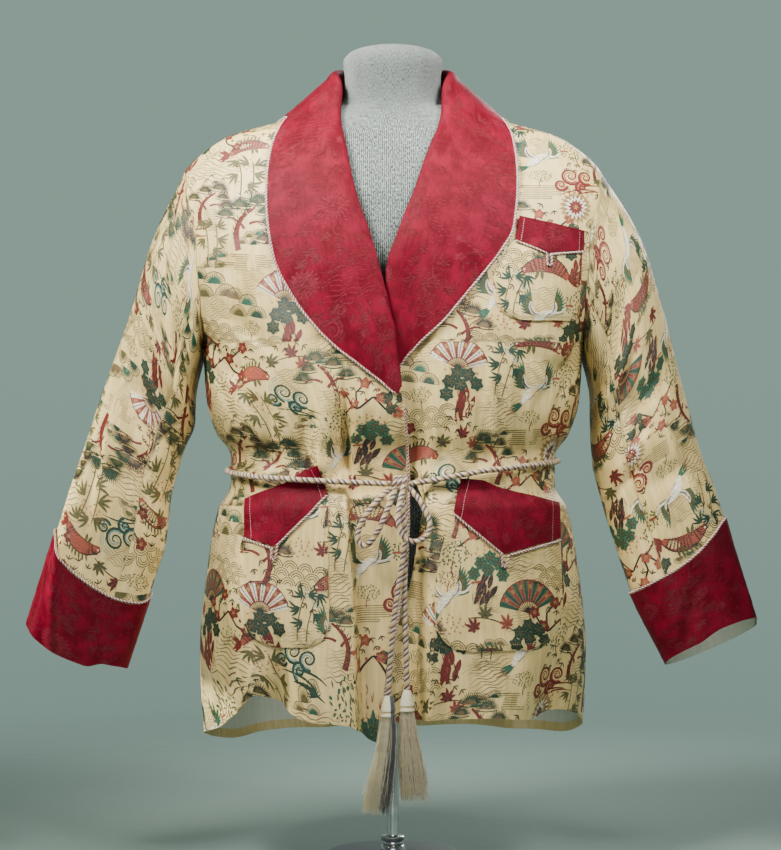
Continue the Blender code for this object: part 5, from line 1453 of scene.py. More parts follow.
# %% Make the sleeves and cuffs
sleeves = {}
for side, word in SIDES:
    front_step, back_step = SLEEVE_SEAM_STEPS
    gap = 0.5 * SEAM_GAP / SLEEVE_SEAM_RADIUS
    step = 2.0 * math.pi / ARMHOLE_STEPS
    spans = {"upper": (back_step - ARMHOLE_STEPS, front_step, UPPER_COLUMNS),
             "under": (front_step, back_step, UNDER_COLUMNS)}
    for part, (first, last, columns) in spans.items():
        turn = np.linspace(step * first + gap, step * last - gap, 4 * columns)
        share = SLEEVE_END * shares(SLEEVE_STATIONS)[:, None]
        points = spaced(sleeve(side, turn[None, :], share), columns)
        name = "sleeve_" + word + "_" + part
        sleeves[name] = cloth(points, side)
        cloth_object(name + "_cloth", sleeves[name], CLOTH, BROCADE, name, "hung", ["dress_form"])
cuff_pieces = {}
for side, word in SIDES:
    seam = math.pi - CUFF_SEAM
    turn = np.linspace(-seam, seam, CUFF_COLUMNS)[None, :]
    top = cuff_top(side, turn)
    share = top + (cuff_end(side, turn) - top) * shares(CUFF_STATIONS)[:, None]
    name = "cuff_" + word
    points = cuff(side, np.broadcast_to(turn, share.shape), share)
    cuff_pieces[name] = cloth(points, side)
    materials = [damask_ground, lining_cloth]
    rests_on = ["sleeve_" + word + "_upper"]
    cloth_object(name + "_cloth", cuff_pieces[name], CLOTH, materials, name, "folded", rests_on)
print("sleeves:", len(sleeves), "cuffs:", len(cuff_pieces))

# %% [markdown]
# ## Shawl collar
# The collar is one strip a half, seamed at the centre back. It comes up from inside the neck,
# turns over the roll line and lies on the front down to the lapel's tip. Its section is a short
# table: how far across, and how far off the body.

# %% Collar
# Angle in degrees, height of the roll and of the outer edge round the back of the neck.
COLLAR_BACK_ROWS = (
    (180, 1.000, 0.922),
    (150, 1.001, 0.923),
    (120, 1.002, 0.928),
    (96, 0.998, 0.935),
)
# Step, share of the way from roll to outer edge, distance off the body.
COLLAR_SECTION = np.array((
    (0, 0.00, -0.0052),
    (1, -0.03, -0.0034),
    (2, -0.05, 0.0004),
    (3, -0.01, 0.0040),
    (4, 0.14, 0.0068),
    (5, 0.50, 0.0066),
    (6, 1.00, 0.0052),
))
COLLAR_STAND_FRONT = 0.14
COLLAR_STAND_BACK = 0.60
COLLAR_CREST_SHARE = 0.14
COLLAR_BRIDGE_END = 0.36
COLLAR_CLOTH = 1.6 * MM
COLLAR_SEAM_SHARE = 0.0006
COLLAR_EVENING = 0.034
COLLAR_STATIONS = 128
# A point of the grid that lies on the chest, and how far back the middle of the body is taken.
COLLAR_CHEST_POINT = (68, 40)
CHEST_DEPTH = 0.2
# Place along the collar, share across it, depth, half length, half width: soft dents and swells.
COLLAR_DENTS = (
    (0.36, 0.60, -0.0014, 0.030, 0.30),
    (0.44, 0.75, 0.0012, 0.040, 0.35),
    (0.55, 0.55, -0.0012, 0.035, 0.30),
    (0.66, 0.70, 0.0014, 0.050, 0.40),
    (0.78, 0.55, -0.0010, 0.040, 0.35),
    (0.20, 0.60, 0.0012, 0.060, 0.40),
)


def collar_rows(side):
    """The collar's roll and outer edge as angles and heights, from the centre back to the tip."""
    rows = COLLAR_RIGHT_ROWS if side < 0 else COLLAR_LEFT_ROWS
    back = [(side * math.radians(turn), roll, side * math.radians(turn), outer)
            for turn, roll, outer in COLLAR_BACK_ROWS]
    front = np.stack((angle_at(rows[:, 0], rows[:, 1]), rows[:, 1],
                      angle_at(rows[:, 2], rows[:, 3]), rows[:, 3]), axis=-1)
    return np.vstack((back, front))


def collar_surface(side, place, section):
    """The collar's middle surface: a section carried from the centre back down to the lapel's tip."""
    rows = collar_rows(side)
    table = np.column_stack((shares(len(rows)), rows))
    roll_angle, roll_height, outer_angle, outer_height = read_columns(table, place)
    back_end = (len(COLLAR_BACK_ROWS) - 1) / (len(rows) - 1)
    behind = 1.0 - smoothstep(back_end, back_end + 0.14, place)
    stand = COLLAR_STAND_FRONT + (COLLAR_STAND_BACK - COLLAR_STAND_FRONT) * behind
    share, offset = read_columns(COLLAR_SECTION, section)
    for middle, across, depth, half_length, half_width in COLLAR_DENTS:
        bell = np.exp(-((place - middle) / half_length) ** 2 - ((share - across) / half_width) ** 2)
        offset = offset + depth * bell * smoothstep(3.0, 4.5, section)
    share = share + stand * np.clip(1.0 - section, 0.0, 1.0)
    angle = roll_angle + (outer_angle - roll_angle) * share
    height = roll_height + (outer_height - roll_height) * share
    layer = "right" if side < 0 else "left"
    points = raised(angle, height, layer, offset)
    crest_angle = roll_angle + (outer_angle - roll_angle) * COLLAR_CREST_SHARE
    crest_height = roll_height + (outer_height - roll_height) * COLLAR_CREST_SHARE
    crest = raised(crest_angle, crest_height, layer, np.full(place.shape, COLLAR_SECTION[4, 2]))
    edge = raised(outer_angle, outer_height, layer, np.full(place.shape, COLLAR_SECTION[6, 2]))
    fall = np.clip((share - COLLAR_CREST_SHARE) / (1.0 - COLLAR_CREST_SHARE), 0.0, 1.0)[..., None]
    bridge = (1.0 - smoothstep(COLLAR_BRIDGE_END, COLLAR_BRIDGE_END + 0.14, place)) * (section > 4.0)
    return points + bridge[..., None] * (crest + (edge - crest) * fall - points)


def collar_grid(side):
    """Grid of the collar's middle surface, evened along its length where it rounds the neck.

    Each row there is a mean of the rows near it, weighted by a bell, so the roll line runs on
    smoothly from the neck to the chest.
    """
    place = np.linspace(COLLAR_SEAM_SHARE, 1.0, COLLAR_STATIONS)
    section = np.concatenate((np.linspace(0.0, 4.0, 26)[:-1], np.linspace(4.0, 6.0, 26)))
    grid = collar_surface(side, *np.broadcast_arrays(place[:, None], section[None, :]))
    bell = np.exp(-0.5 * ((place[:, None] - place[None, :]) / COLLAR_EVENING) ** 2)
    evened = np.einsum("ij,jkl->ikl", bell / bell.sum(axis=1, keepdims=True), grid)
    near = smoothstep(0.10, 0.20, place) * (1.0 - smoothstep(0.48, 0.60, place))
    return grid + near[:, None, None] * (evened - grid)


collars = {}
for side, word in SIDES:
    middle = collar_grid(side)
    piece = cloth(middle, 1.0)
    chest = middle[COLLAR_CHEST_POINT]
    outward = chest - np.array((0.0, CHEST_DEPTH, chest[2]))
    normals = piece.normals * np.sign(np.sum(piece.normals[COLLAR_CHEST_POINT] * outward))
    piece = piece._replace(points=middle + 0.5 * COLLAR_CLOTH * normals, normals=normals)
    name = "collar_" + word
    collars[name] = piece
    cloth_object(name + "_cloth", piece, COLLAR_CLOTH, DAMASK, name, "folded", ["front_" + word])
print("collar halves:", len(collars))

# %% [markdown]
# ## Patch pockets and bands
# A patch pocket is a flat cut laid on the front, sewn down at its sides and its rounded foot. The
# pointed band in the collar's cloth crosses its top.

# %% Pockets and bands
PATCH_CLOTH = 1.2 * MM
PATCH_LIFT = 1.5 * MM
PATCH_SINK = 0.6 * MM
POCKET_SWELL = 1.2 * MM
POCKET_GRID = 46
BAND_STATIONS = 25
BAND_COLUMNS = 81
# Height, left edge and right edge as seen from the front, foot first.
POCKETS = {
    "pocket_lower_left": ("left", np.array((
        (0.277, 0.090, 0.166),
        (0.281, 0.074, 0.182),
        (0.290, 0.061, 0.196),
        (0.312, 0.051, 0.206),
        (0.340, 0.050, 0.207),
        (0.395, 0.058, 0.206),
        (0.445, 0.074, 0.203),
    ))),
    "pocket_lower_right": ("right", np.array((
        (0.281, -0.145, -0.106),
        (0.290, -0.168, -0.086),
        (0.312, -0.180, -0.077),
        (0.340, -0.183, -0.077),
        (0.395, -0.183, -0.078),
        (0.445, -0.181, -0.078),
        (0.462, -0.180, -0.078),
    ))),
    "pocket_chest": ("left", np.array((
        (0.679, 0.155, 0.218),
        (0.684, 0.140, 0.226),
        (0.700, 0.125, 0.229),
        (0.720, 0.121, 0.230),
        (0.738, 0.124, 0.231),
        (0.762, 0.137, 0.232),
        (0.776, 0.145, 0.232),
    ))),
}
# Layer, lift, gap to the piping, corners of the top edge and of the pointed lower edge.
BANDS = {
    "band_lower_left": ("left", 4.2 * MM, 1.0 * MM,
                        ((0.082, 0.486), (0.108, 0.484), (0.144, 0.468), (0.203, 0.452)),
                        ((0.073, 0.445), (0.134, 0.394), (0.203, 0.411))),
    "band_lower_right": ("right", 4.2 * MM, 1.0 * MM,
                         ((-0.180, 0.457), (-0.135, 0.478), (-0.088, 0.503)),
                         ((-0.179, 0.413), (-0.143, 0.403), (-0.079, 0.466))),
    "band_chest": ("left", 3.5 * MM, 0.5 * MM,
                   ((0.154, 0.806), (0.190, 0.799), (0.234, 0.790)),
                   ((0.149, 0.777), (0.188, 0.761), (0.233, 0.766))),
}


def along_corners(corners, share):
    """Points at shares of the way along a line with corners."""
    corners = np.array(corners)
    along = lengths(corners)
    return np.stack([np.interp(share, along / along[-1], column) for column in corners.T], axis=-1)


def patch(sideways, height, layer, lift):
    """Places given as seen from the front, lifted off a front panel."""
    return raised(angle_at(sideways, height), height, layer, np.broadcast_to(lift, sideways.shape))


pocket_pieces = {}
for name, (layer, rows) in POCKETS.items():
    height = np.linspace(rows[0, 0], rows[-1, 0], POCKET_GRID)[:, None]
    left, right = read_columns(rows, height[:, 0])
    share = shares(POCKET_GRID)[None, :]
    sideways = left[:, None] + (right - left)[:, None] * share
    edge = np.minimum(np.minimum(share, 1.0 - share) * 12.0, (height - rows[0, 0]) * 140.0)
    lift = PATCH_LIFT + PATCH_CLOTH - PATCH_SINK + POCKET_SWELL * smoothstep(0.0, 1.0, edge)
    points = patch(sideways, np.broadcast_to(height, sideways.shape), layer, lift)
    piece = cloth(points, 1, left)
    pocket_pieces[name] = piece
    cloth_object(name + "_cloth", piece, PATCH_CLOTH, BROCADE, name, "laid", ["front_" + layer])
band_pieces = {}
for name, (layer, lift, _, top, low) in BANDS.items():
    share = shares(BAND_COLUMNS)
    lower = along_corners(low, share)
    upper = along_corners(top, share)
    rise = shares(BAND_STATIONS)[:, None, None]
    places = lower[None] + (upper - lower)[None] * rise
    points = patch(places[..., 0], places[..., 1], layer, lift + PATCH_CLOTH)
    piece = cloth(points, 1)
    band_pieces[name] = piece
    pocket = name.replace("band", "pocket")
    cloth_object(name + "_cloth", piece, PATCH_CLOTH, DAMASK, name, "laid", [pocket])
print("pockets:", len(pocket_pieces), "bands:", len(band_pieces))

# %% [markdown]
# ## Piping
# A thin cord of cream and burgundy plies by turns is sewn along the collar's outer edge, the
# lapping front edge, the tops of the cuffs and the lower edges of the bands, where it hangs down
# in a small loop at the point.

# %% Piping
PIPING_RADIUS = 1.7 * MM
PIPING_PITCH = 8.8 * MM
PIPING_SPACING = 1.2 * MM
PIPING_LOBE = 0.25
PIPING_SINK = 0.6 * MM
# Heights of the two ends of the piping on the lapping edge, and about the length of a sleeve.
FRONT_PIPING_SPAN = (0.574, 0.172)
SLEEVE_LENGTH = 0.64
LOOP_DROP = 0.016
LOOP_HALF_WIDTH = 0.0028


def band_piping(layer, lift, gap, low):
    """Line of the piping below a band, down and up again in a loop at the band's point."""
    low = np.array(low)
    clear = PIPING_RADIUS + SEAM_GAP + gap
    share = shares(30)[:, None]
    below = np.array((0.0, -clear))
    tip = low[1]
    turn = np.linspace(math.pi, 2.0 * math.pi, 15)
    foot = tip + np.array((0.0, -LOOP_DROP + LOOP_HALF_WIDTH))
    loop = foot + LOOP_HALF_WIDTH * circle(turn)
    first = low[0] + (tip - low[0]) * share + below
    second = tip + (low[2] - tip) * share + below
    flat = np.vstack((first[:-2], loop, second[2:]))
    return patch(flat[:, 0], flat[:, 1], layer, lift + PIPING_RADIUS - PIPING_SINK)


piping_paths = {}
for side, word in SIDES:
    grid = collar_grid(side)[:-2]
    out = unit(grid[:, -1] - grid[:, -3])
    piping_paths["piping_collar_" + word] = route(grid[:, -1] + out * (PIPING_RADIUS + SEAM_GAP), 600)
    turn = np.linspace(-math.pi, math.pi, 260)
    share = cuff_top(side, turn) - (PIPING_RADIUS + SEAM_GAP) / SLEEVE_LENGTH
    piping_paths["piping_cuff_" + word] = cuff(side, turn, share, -0.5 * CLOTH)
height = np.linspace(*FRONT_PIPING_SPAN, 200)
sideways = through(EDGE_RIGHT_ROWS, height)[..., 0] + PIPING_RADIUS + SEAM_GAP
piping_paths["piping_front_edge"] = patch(sideways, height, "right", -0.5 * CLOTH)
for name, (layer, lift, gap, _, low) in BANDS.items():
    piping_paths["piping_" + name] = band_piping(layer, lift, gap, low)
for name, path in piping_paths.items():
    path = even(path, PIPING_SPACING)
    item = twisted_cord(name + "_cord", path, PIPING_RADIUS, PIPING_PITCH, PIPING_PLIES, PIPING_LOBE)
    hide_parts(name)
print("piping runs:", len(piping_paths))

# %% [markdown]
# ## Dress form and stand
# The form is a smooth limbless torso in grey jersey with a neck block. Its shoulders follow the
# jacket's own rings a little inside them, so the jacket rests on it. Below are the pole, a ringed
# fitting and the round base.

# %% Dress form
# Height, half width, depth in front and behind.
FORM_ROWS = np.array((
    (0.345, 0.040, 0.030, 0.030),
    (0.346, 0.130, 0.088, 0.090),
    (0.352, 0.148, 0.100, 0.104),
    (0.380, 0.158, 0.108, 0.112),
    (0.440, 0.156, 0.108, 0.110),
    (0.500, 0.148, 0.104, 0.104),
    (0.570, 0.160, 0.116, 0.116),
    (0.650, 0.178, 0.112, 0.128),
    (0.720, 0.192, 0.118, 0.134),
    (0.780, 0.202, 0.119, 0.132),
    (0.830, 0.206, 0.110, 0.122),
    (0.868, 0.206, 0.093, 0.105),
    (0.955, 0.067, 0.046, 0.061),
    (0.970, 0.062, 0.046, 0.059),
    (0.992, 0.061, 0.049, 0.058),
    (1.010, 0.0635, 0.051, 0.060),
    (1.018, 0.0605, 0.049, 0.058),
    (1.0245, 0.052, 0.042, 0.050),
    (1.029, 0.040, 0.032, 0.038),
    (1.032, 0.026, 0.021, 0.025),
    (1.034, 0.012, 0.009, 0.011),
))
SHOULDER_HEIGHTS = np.array((0.898, 0.918, 0.934, 0.945))
FORM_SHOULDER_HALF_WIDTH = 0.206
SHOULDER_SEAT = 2.2 * MM
SHOULDER_FRONT_INSET = 0.010
SHOULDER_BACK_INSET = 0.004
NECK_EVENING = 0.013


def form_rows():
    """Rings of the form, with shoulders taken from the jacket's rings, read closely and smoothly.

    Where the chest runs into the neck, the depth in front is a mean of the rings near it, weighted
    by a bell, so no ledge shows there.
    """
    half_width, front, behind, _ = read_columns(BODY_ROWS, SHOULDER_HEIGHTS)
    half_width = np.minimum(half_width, FORM_SHOULDER_HALF_WIDTH)
    shoulders = np.column_stack((SHOULDER_HEIGHTS - SHOULDER_SEAT, half_width,
                                 front - SHOULDER_FRONT_INSET, behind - SHOULDER_BACK_INSET))
    rows = np.vstack((FORM_ROWS, shoulders))
    rows = rows[np.argsort(rows[:, 0])]
    heights = np.concatenate((np.linspace(0.345, 0.352, 8), np.linspace(0.356, 1.022, 100),
                              np.linspace(1.0235, 1.034, 12)))
    rings = through(rows, heights)
    bell = np.exp(-0.5 * ((heights[:, None] - heights[None, :]) / NECK_EVENING) ** 2)
    evened = bell @ rings[:, 1] / bell.sum(axis=1)
    near = smoothstep(0.890, 0.925, heights) * (1.0 - smoothstep(0.975, 0.995, heights))
    rings[:, 1] += near * (evened - rings[:, 1])
    return np.column_stack((heights, rings))


def jersey_recipe(place):
    """Heather knit: ribs down the form, courses across, and flecks of darker and paler fibre."""
    rib = place.axis(0).sine(0.0026)
    course = place.axis(1).sine(0.0017)
    fleck = place.noise(620.0, 3.0, (1.0, 0.45, 1.0))
    cloud = place.noise(26.0)
    tone = (fleck * 0.88 + cloud * 0.12 + rib * 0.09 + course * 0.03).between(0.40, 0.62)
    return {"Base Color": tone.mixed((0.026, 0.034, 0.031), (0.242, 0.285, 0.264)),
            "Roughness": fleck * 0.1 + 0.85,
            "Height": (rib * 0.8 + course * 0.5 + fleck, 0.00022)}


jersey = new_material("jersey", jersey_recipe, Sheen_Weight=0.25)
form = turned("form_jersey", form_rows(), 100, [jersey])
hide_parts("dress_form")
print("form rings:", len(form_rows()))


# %% Stand
def chrome_recipe(place):
    """Polished plating with faint wear."""
    wear = place.noise(90.0, 5.0)
    return {"Base Color": wear.between(0.35, 0.7).mixed((0.62, 0.63, 0.64), (0.78, 0.78, 0.78)),
            "Roughness": wear * 0.16 + 0.10}


def slate_recipe(place):
    """Dark satin paint with fine speckle."""
    speck = place.noise(700.0, 2.0)
    broad = place.noise(20.0)
    tone = (speck * 0.6 + broad * 0.4).between(0.35, 0.65)
    return {"Base Color": tone.mixed((0.050, 0.062, 0.070), (0.085, 0.10, 0.11)),
            "Roughness": broad * 0.15 + 0.38, "Height": (speck, 0.00008)}


chrome = new_material("chrome", chrome_recipe, Metallic=1.0)
slate = new_material("slate_paint", slate_recipe, Coat_Weight=0.1)
POLE_RADIUS = 0.0075
FITTING_RADIUS = 0.015
FITTING_TOP = 0.030
BASE_HEIGHT = 0.011
# Share of the fitting's height, share of its radius: three rounded rings.
FITTING_ROWS = np.array((
    (0.00, 0.94),
    (0.03, 1.00),
    (0.30, 1.00),
    (0.35, 0.95),
    (0.37, 0.84),
    (0.40, 0.86),
    (0.60, 0.86),
    (0.63, 0.84),
    (0.65, 0.95),
    (0.70, 1.00),
    (0.96, 1.00),
    (1.00, 0.93),
))
# Height, radius of the base: a disc with a rounded shoulder.
BASE_ROWS = np.array((
    (0.0000, 0.0815),
    (0.0005, 0.0820),
    (0.0075, 0.0820),
    (0.0092, 0.0814),
    (0.0104, 0.0800),
    (0.0109, 0.0770),
    (0.0110, 0.0300),
))
FITTING_FOOT = BASE_HEIGHT + SEAM_GAP
fitting_height = FITTING_FOOT + (FITTING_TOP - FITTING_FOOT) * FITTING_ROWS[:, 0]
fitting_rows = np.column_stack((fitting_height, FITTING_RADIUS * FITTING_ROWS[:, 1]))
pole_heights = np.array((FITTING_TOP + SEAM_GAP, 0.12, 0.24, FORM_ROWS[0, 0] - SEAM_GAP))
pole_rows = np.column_stack((pole_heights, np.full(4, POLE_RADIUS)))
# Name, rows of height and radius, columns, material, slot.
STAND = (
    ("pole", pole_rows, 40, chrome, "chrome"),
    ("pole_fitting", fitting_rows, 48, chrome, "chrome"),
    ("base", BASE_ROWS, 120, slate, "slate_metal"),
)
for name, rows, columns, material, slot in STAND:
    item = turned(name + "_turned", rows[:, [0, 1, 1, 1]], columns, [material])
    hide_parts(name)
print("stand made")

# %% [markdown]
# ## Woven motifs
# In a brocade the coloured weft comes up to the face only where a motif needs it and floats there,
# a hair above the satin. So each motif is drawn flat in millimetres, as ribbons of thread with a
# colour each, and the drawing is then carried onto the draped pieces. The motifs are common
# traditional ones: pines, bamboo, cranes, carp, fans, plum blossom, chrysanthemums, clouds, waves.

# %% Drawing with threads
THREADS = {
    "deep_green": (0.005, 0.040, 0.018),
    "teal_green": (0.014, 0.100, 0.050),
    "red_brown": (0.155, 0.013, 0.008),
    "coral": (0.33, 0.070, 0.034),
    "dark_brown": (0.016, 0.008, 0.005),
    "olive": (0.100, 0.092, 0.024),
    "light_blue": (0.17, 0.33, 0.30),
    "grey_gold": (0.160, 0.110, 0.040),
    "ivory": (0.80, 0.72, 0.55),
    "gold": (0.34, 0.215, 0.060),
}
NARROW_LEAF = 2.25


class Drawing:
    """Ribbons of thread on a flat plane, each with a colour and a layer."""

    def __init__(self, slots):
        self.slots = slots
        self.points = []
        self.faces = []
        self.colours = []
        self.count = 0
        self.at((0.0, 0.0))

    def at(self, origin, size=1.0, turn=0.0, mirror=1.0):
        """Set where the next ribbons go."""
        self.origin = np.array(origin, dtype=float)
        self.size = size
        spin = np.array(((math.cos(turn), -math.sin(turn)), (math.sin(turn), math.cos(turn))))
        self.frame = spin @ np.diag((mirror, 1.0)) * size

    def strokes(self, lines, width, colour, layer=0):
        """Ribbons along lines of points; the width is one number or one for each point."""
        lines = np.asarray(lines, dtype=float)
        lines = lines[None] if lines.ndim == 2 else lines
        lines = self.origin + lines @ self.frame.T
        count, steps = lines.shape[:2]
        way = unit(np.gradient(lines, axis=1))
        half = 0.5 * self.size * np.broadcast_to(width, (count, steps))[..., None]
        side = np.stack((-way[..., 1], way[..., 0]), axis=-1) * half
        pairs = np.stack((lines - side, lines + side), axis=2).reshape(-1, 2)
        quads = grid_quads(steps, 2)[:, ::-1][None] + 2 * steps * np.arange(count)[:, None, None]
        self.points.append(np.column_stack((pairs, np.full(len(pairs), layer))))
        self.faces.append(quads.reshape(-1, 4) + self.count)
        self.colours.append(np.full(count * (steps - 1), self.slots[str(colour)]))
        self.count += len(pairs)

    def leaves(self, places, turns, length, width, colour, layer=0, bend=0.0):
        """Lens-shaped floats from places, each pointing its own way; narrow ones need fewer points."""
        turns = np.asarray(turns, dtype=float)
        places = np.broadcast_to(np.asarray(places, dtype=float), (len(turns), 2))
        share = shares(3 if width < NARROW_LEAF else 4)
        reach = np.broadcast_to(length, turns.shape)[:, None] * share
        bow = np.broadcast_to(length, turns.shape)[:, None] * bend * 4.0 * share * (1.0 - share)
        way = circle(turns)[:, None]
        across = np.stack((-np.sin(turns), np.cos(turns)), axis=-1)[:, None]
        lines = places[:, None] + way * reach[..., None] + across * bow[..., None]
        self.strokes(lines, width * np.sin(math.pi * (0.08 + 0.86 * share)) ** 0.8, colour, layer)


def bow(start, end, rise, steps=9):
    """A curved line from start to end that rises to one side."""
    share = shares(steps)[:, None]
    start, end = np.array(start, dtype=float), np.array(end, dtype=float)
    across = np.array((start[1] - end[1], end[0] - start[0]))
    return start + (end - start) * share + across * rise * 4.0 * share * (1.0 - share)


def arc(centre, radius, first, last, steps=9):
    """Part of a circle; the angles are in degrees."""
    turn = np.radians(np.linspace(first, last, steps))
    return np.array(centre) + radius * circle(turn)


def coil(centre, radius, first, turns, steps=22):
    """A spiral from the outside in."""
    share = shares(steps)
    turn = math.radians(first) + 2.0 * math.pi * turns * share
    reach = radius * (1.0 - 0.88 * share)
    return np.array(centre) + reach[:, None] * circle(turn)


print("threads:", len(THREADS))


# %% Trees and plants
def pine(draw, chance):
    """A leaning trunk with half-round clumps of needles."""
    needle = chance.choice(("deep_green", "deep_green", "teal_green", "dark_brown"))
    under = chance.choice(("olive", "teal_green", "grey_gold"))
    trunk = bow((-6, -34), (8, 16), 0.20)
    draw.strokes(trunk, np.linspace(7, 2.6, 9), "red_brown")
    draw.strokes(bow((-2, -10), (-21, 2), -0.12, 6), np.linspace(3.4, 1.6, 6), "red_brown")
    draw.strokes(bow((3, -4), (24, -4), 0.16, 6), np.linspace(3.2, 1.5, 6), "red_brown")
    for place in trunk[:8]:
        draw.leaves(place - (2.2, 0), (1.9, 1.1), 6, 1.1, "dark_brown", 1)
    clumps = ((-24, 3, 0.95), (-9, 15, 1), (11, 21, 1.15), (26, -2, 0.95), (19, 9, 0.85))
    for x, y, size in clumps:
        turns = np.radians(np.linspace(8, 172, 17))
        draw.leaves((x, y), turns, size * (13 + np.sin(turns * 7)), 1.5 * size, needle, 2)
        draw.leaves((x, y), turns[::2] + 0.06, 7.5 * size, 1.5 * size, under, 3)
        draw.strokes(bow((x - 12 * size, y - 1), (x + 12 * size, y - 1), -0.08, 7), 1.1, needle, 2)


def bamboo(draw, chance):
    """Two jointed stems with sprays of pointed leaves."""
    leaf = chance.choice(("dark_brown", "deep_green", "olive", "dark_brown"))
    for x, lean in ((-5, 3), (6, 8)):
        draw.strokes(bow((x, -30), (x + lean, 28), 0.05), 1.5, "olive")
        for share in (0.2, 0.45, 0.7):
            draw.leaves(((x + lean * share - 2.2, -30 + 58 * share),), (0,), 4.4, 1.1, "dark_brown", 1)
    for x, y, base in ((-7, 8, 200), (2, 26, 20), (14, 30, 320), (-1, -6, 215),
                       (12, 6, -40), (-4, 24, 160)):
        turns = np.radians(base + np.array((-46, -20, 4, 30)))
        draw.leaves((x, y), turns, chance.uniform(12, 17, 4), 3, leaf, 2, 0.06)


def plum(draw, chance):
    """An angular branch with five-petalled blossom and buds."""
    petal = chance.choice(("coral", "ivory", "red_brown"))
    for line in (((-30, -18), (-16, -6), (-10, -9), (4, 6), (12, 4), (28, 20)),
                 ((-10, -9), (-14, 8), (-6, 20)), ((4, 6), (18, -6), (30, -8)),
                 ((-16, -6), (-27, 6))):
        draw.strokes(even(np.array(line), 4), 2, "dark_brown")
    flowers = ((-6, 20), (28, 20), (12, 6), (30, -8), (-27, 7), (-15, -4))
    for x, y in flowers:
        turns = np.radians(np.arange(5) * 72 + chance.uniform(0, 72))
        draw.leaves((x, y), turns, 6.4, 5.2, petal, 1)
        draw.leaves((x, y), turns + 0.6, 2.6, 1, "gold", 2)
    buds = ((-2, 0), (8, 12), (20, 2), (-22, -10))
    draw.leaves(buds, (1.9, 1.3, -1, -1.8), 4, 2.6, petal, 1)


def chrysanthemum(draw, chance):
    """Three rings of petals over lobed leaves."""
    outer = chance.choice(("coral", "light_blue", "gold"))
    draw.strokes(bow((0, -4), (-10, -36), 0.12), 1.6, "deep_green")
    for x, y, base in ((-9, -26, 160), (-4, -18, -10), (-12, -34, 10)):
        turns = np.radians(base + np.array((-50, -18, 14, 46)))
        draw.leaves((x, y), turns, (9, 13, 12, 8), 5, "deep_green", 1)
        draw.leaves((x, y), turns, (7, 10, 9, 6), 0.9, "olive", 2)
    rings = ((19, 20, 4.6, outer, 1), (14, 16, 4.2, "ivory", 3), (9, 12, 3.6, "red_brown", 4))
    for radius, count, width, colour, layer in rings:
        turns = np.radians(np.arange(count) * 360 / count + radius)
        draw.leaves((0, 6), turns, radius, width, colour, layer)
        draw.leaves((0, 6), turns + math.pi / count, radius * 0.95, 0.8, "dark_brown", 2)
    draw.leaves((0, 6), np.radians(np.arange(6) * 60), 3.4, 1.6, "gold", 5)


def maple(draw, chance):
    """Three pointed leaves on a twig."""
    draw.strokes(bow((-24, -14), (22, 14), 0.10), 1.3, "dark_brown")
    colours = chance.permutation(("coral", "red_brown", "olive"))
    for (x, y), colour in zip(((-20, -6), (4, 12), (20, 2)), colours):
        base = chance.uniform(40, 140)
        turns = np.radians(base + np.array((-125, -78, -38, 0, 38, 78, 125)))
        length = np.array((6, 9.5, 12.5, 14, 12.5, 9.5, 6))
        draw.leaves((x, y), turns, length, 4.2, colour, 1)
        draw.leaves((x, y), turns, 0.8 * length, 0.7, "dark_brown", 2)


def crag(draw, chance):
    """A stepped rock with lobed foliage above it."""
    leaf = chance.choice(("deep_green", "teal_green", "deep_green"))
    rock = chance.choice(("red_brown", "dark_brown", "red_brown"))
    places = np.array(((-12, -30), (-5, -31), (2, -30), (-9, -20), (-1, -21), (6, -22),
                       (-4, -11), (4, -12), (0, -4)))
    draw.leaves(places, np.radians(chance.uniform(58, 100, 9)), 16, 6.4, rock, 0)
    draw.leaves(places + (1.2, 1.5), np.radians(chance.uniform(58, 100, 9)), 12, 1.3, "dark_brown", 1)
    draw.leaves(places + (-1.6, 1), np.radians(chance.uniform(58, 100, 9)), 10, 1, "coral", 1)
    for x, y in ((-15, 2), (-8, 14), (3, 21), (14, 16), (20, 4), (2, 8)):
        turns = np.radians(chance.uniform(0, 60) + np.arange(6) * 60)
        draw.leaves((x, y), turns, 8.2, 6.2, leaf, 2)
        draw.leaves((x, y), turns, 5.6, 1, "olive", 3)
        draw.leaves((x, y), turns + 0.5, 7.6, 0.9, "dark_brown", 3)


def tuft(draw, chance):
    """Half-rounds of needles, one over another."""
    colours = chance.permutation(("deep_green", "olive", "teal_green", "grey_gold"))
    for (x, y), colour in zip(((-14, -8), (12, -10), (0, 4), (20, 8)), colours):
        turns = np.radians(np.linspace(6, 174, 13))
        draw.leaves((x, y), turns, 11.5, 1.5, colour, 1)
        draw.strokes(arc((x, y), 12.4, 4, 176), 0.8, "dark_brown", 2)


def bush(draw, chance):
    """A round cluster of small dots of thread."""
    colours = chance.permutation(("teal_green", "olive", "coral", "deep_green"))[:2]
    for colour, seed in zip(colours, (0, 0.5)):
        number = np.arange(26) + seed
        reach = 3.6 * np.sqrt(number + 0.5)
        places = np.stack((1.25 * reach * np.cos(2.4 * number), 0.8 * reach * np.sin(2.4 * number)), axis=-1)
        draw.leaves(places, chance.uniform(0, 3.1, 26), 3.8, 2.2, colour, 1)
    draw.strokes(bow((-2, -26), (0, -6), 0.1, 6), 1.5, "red_brown")


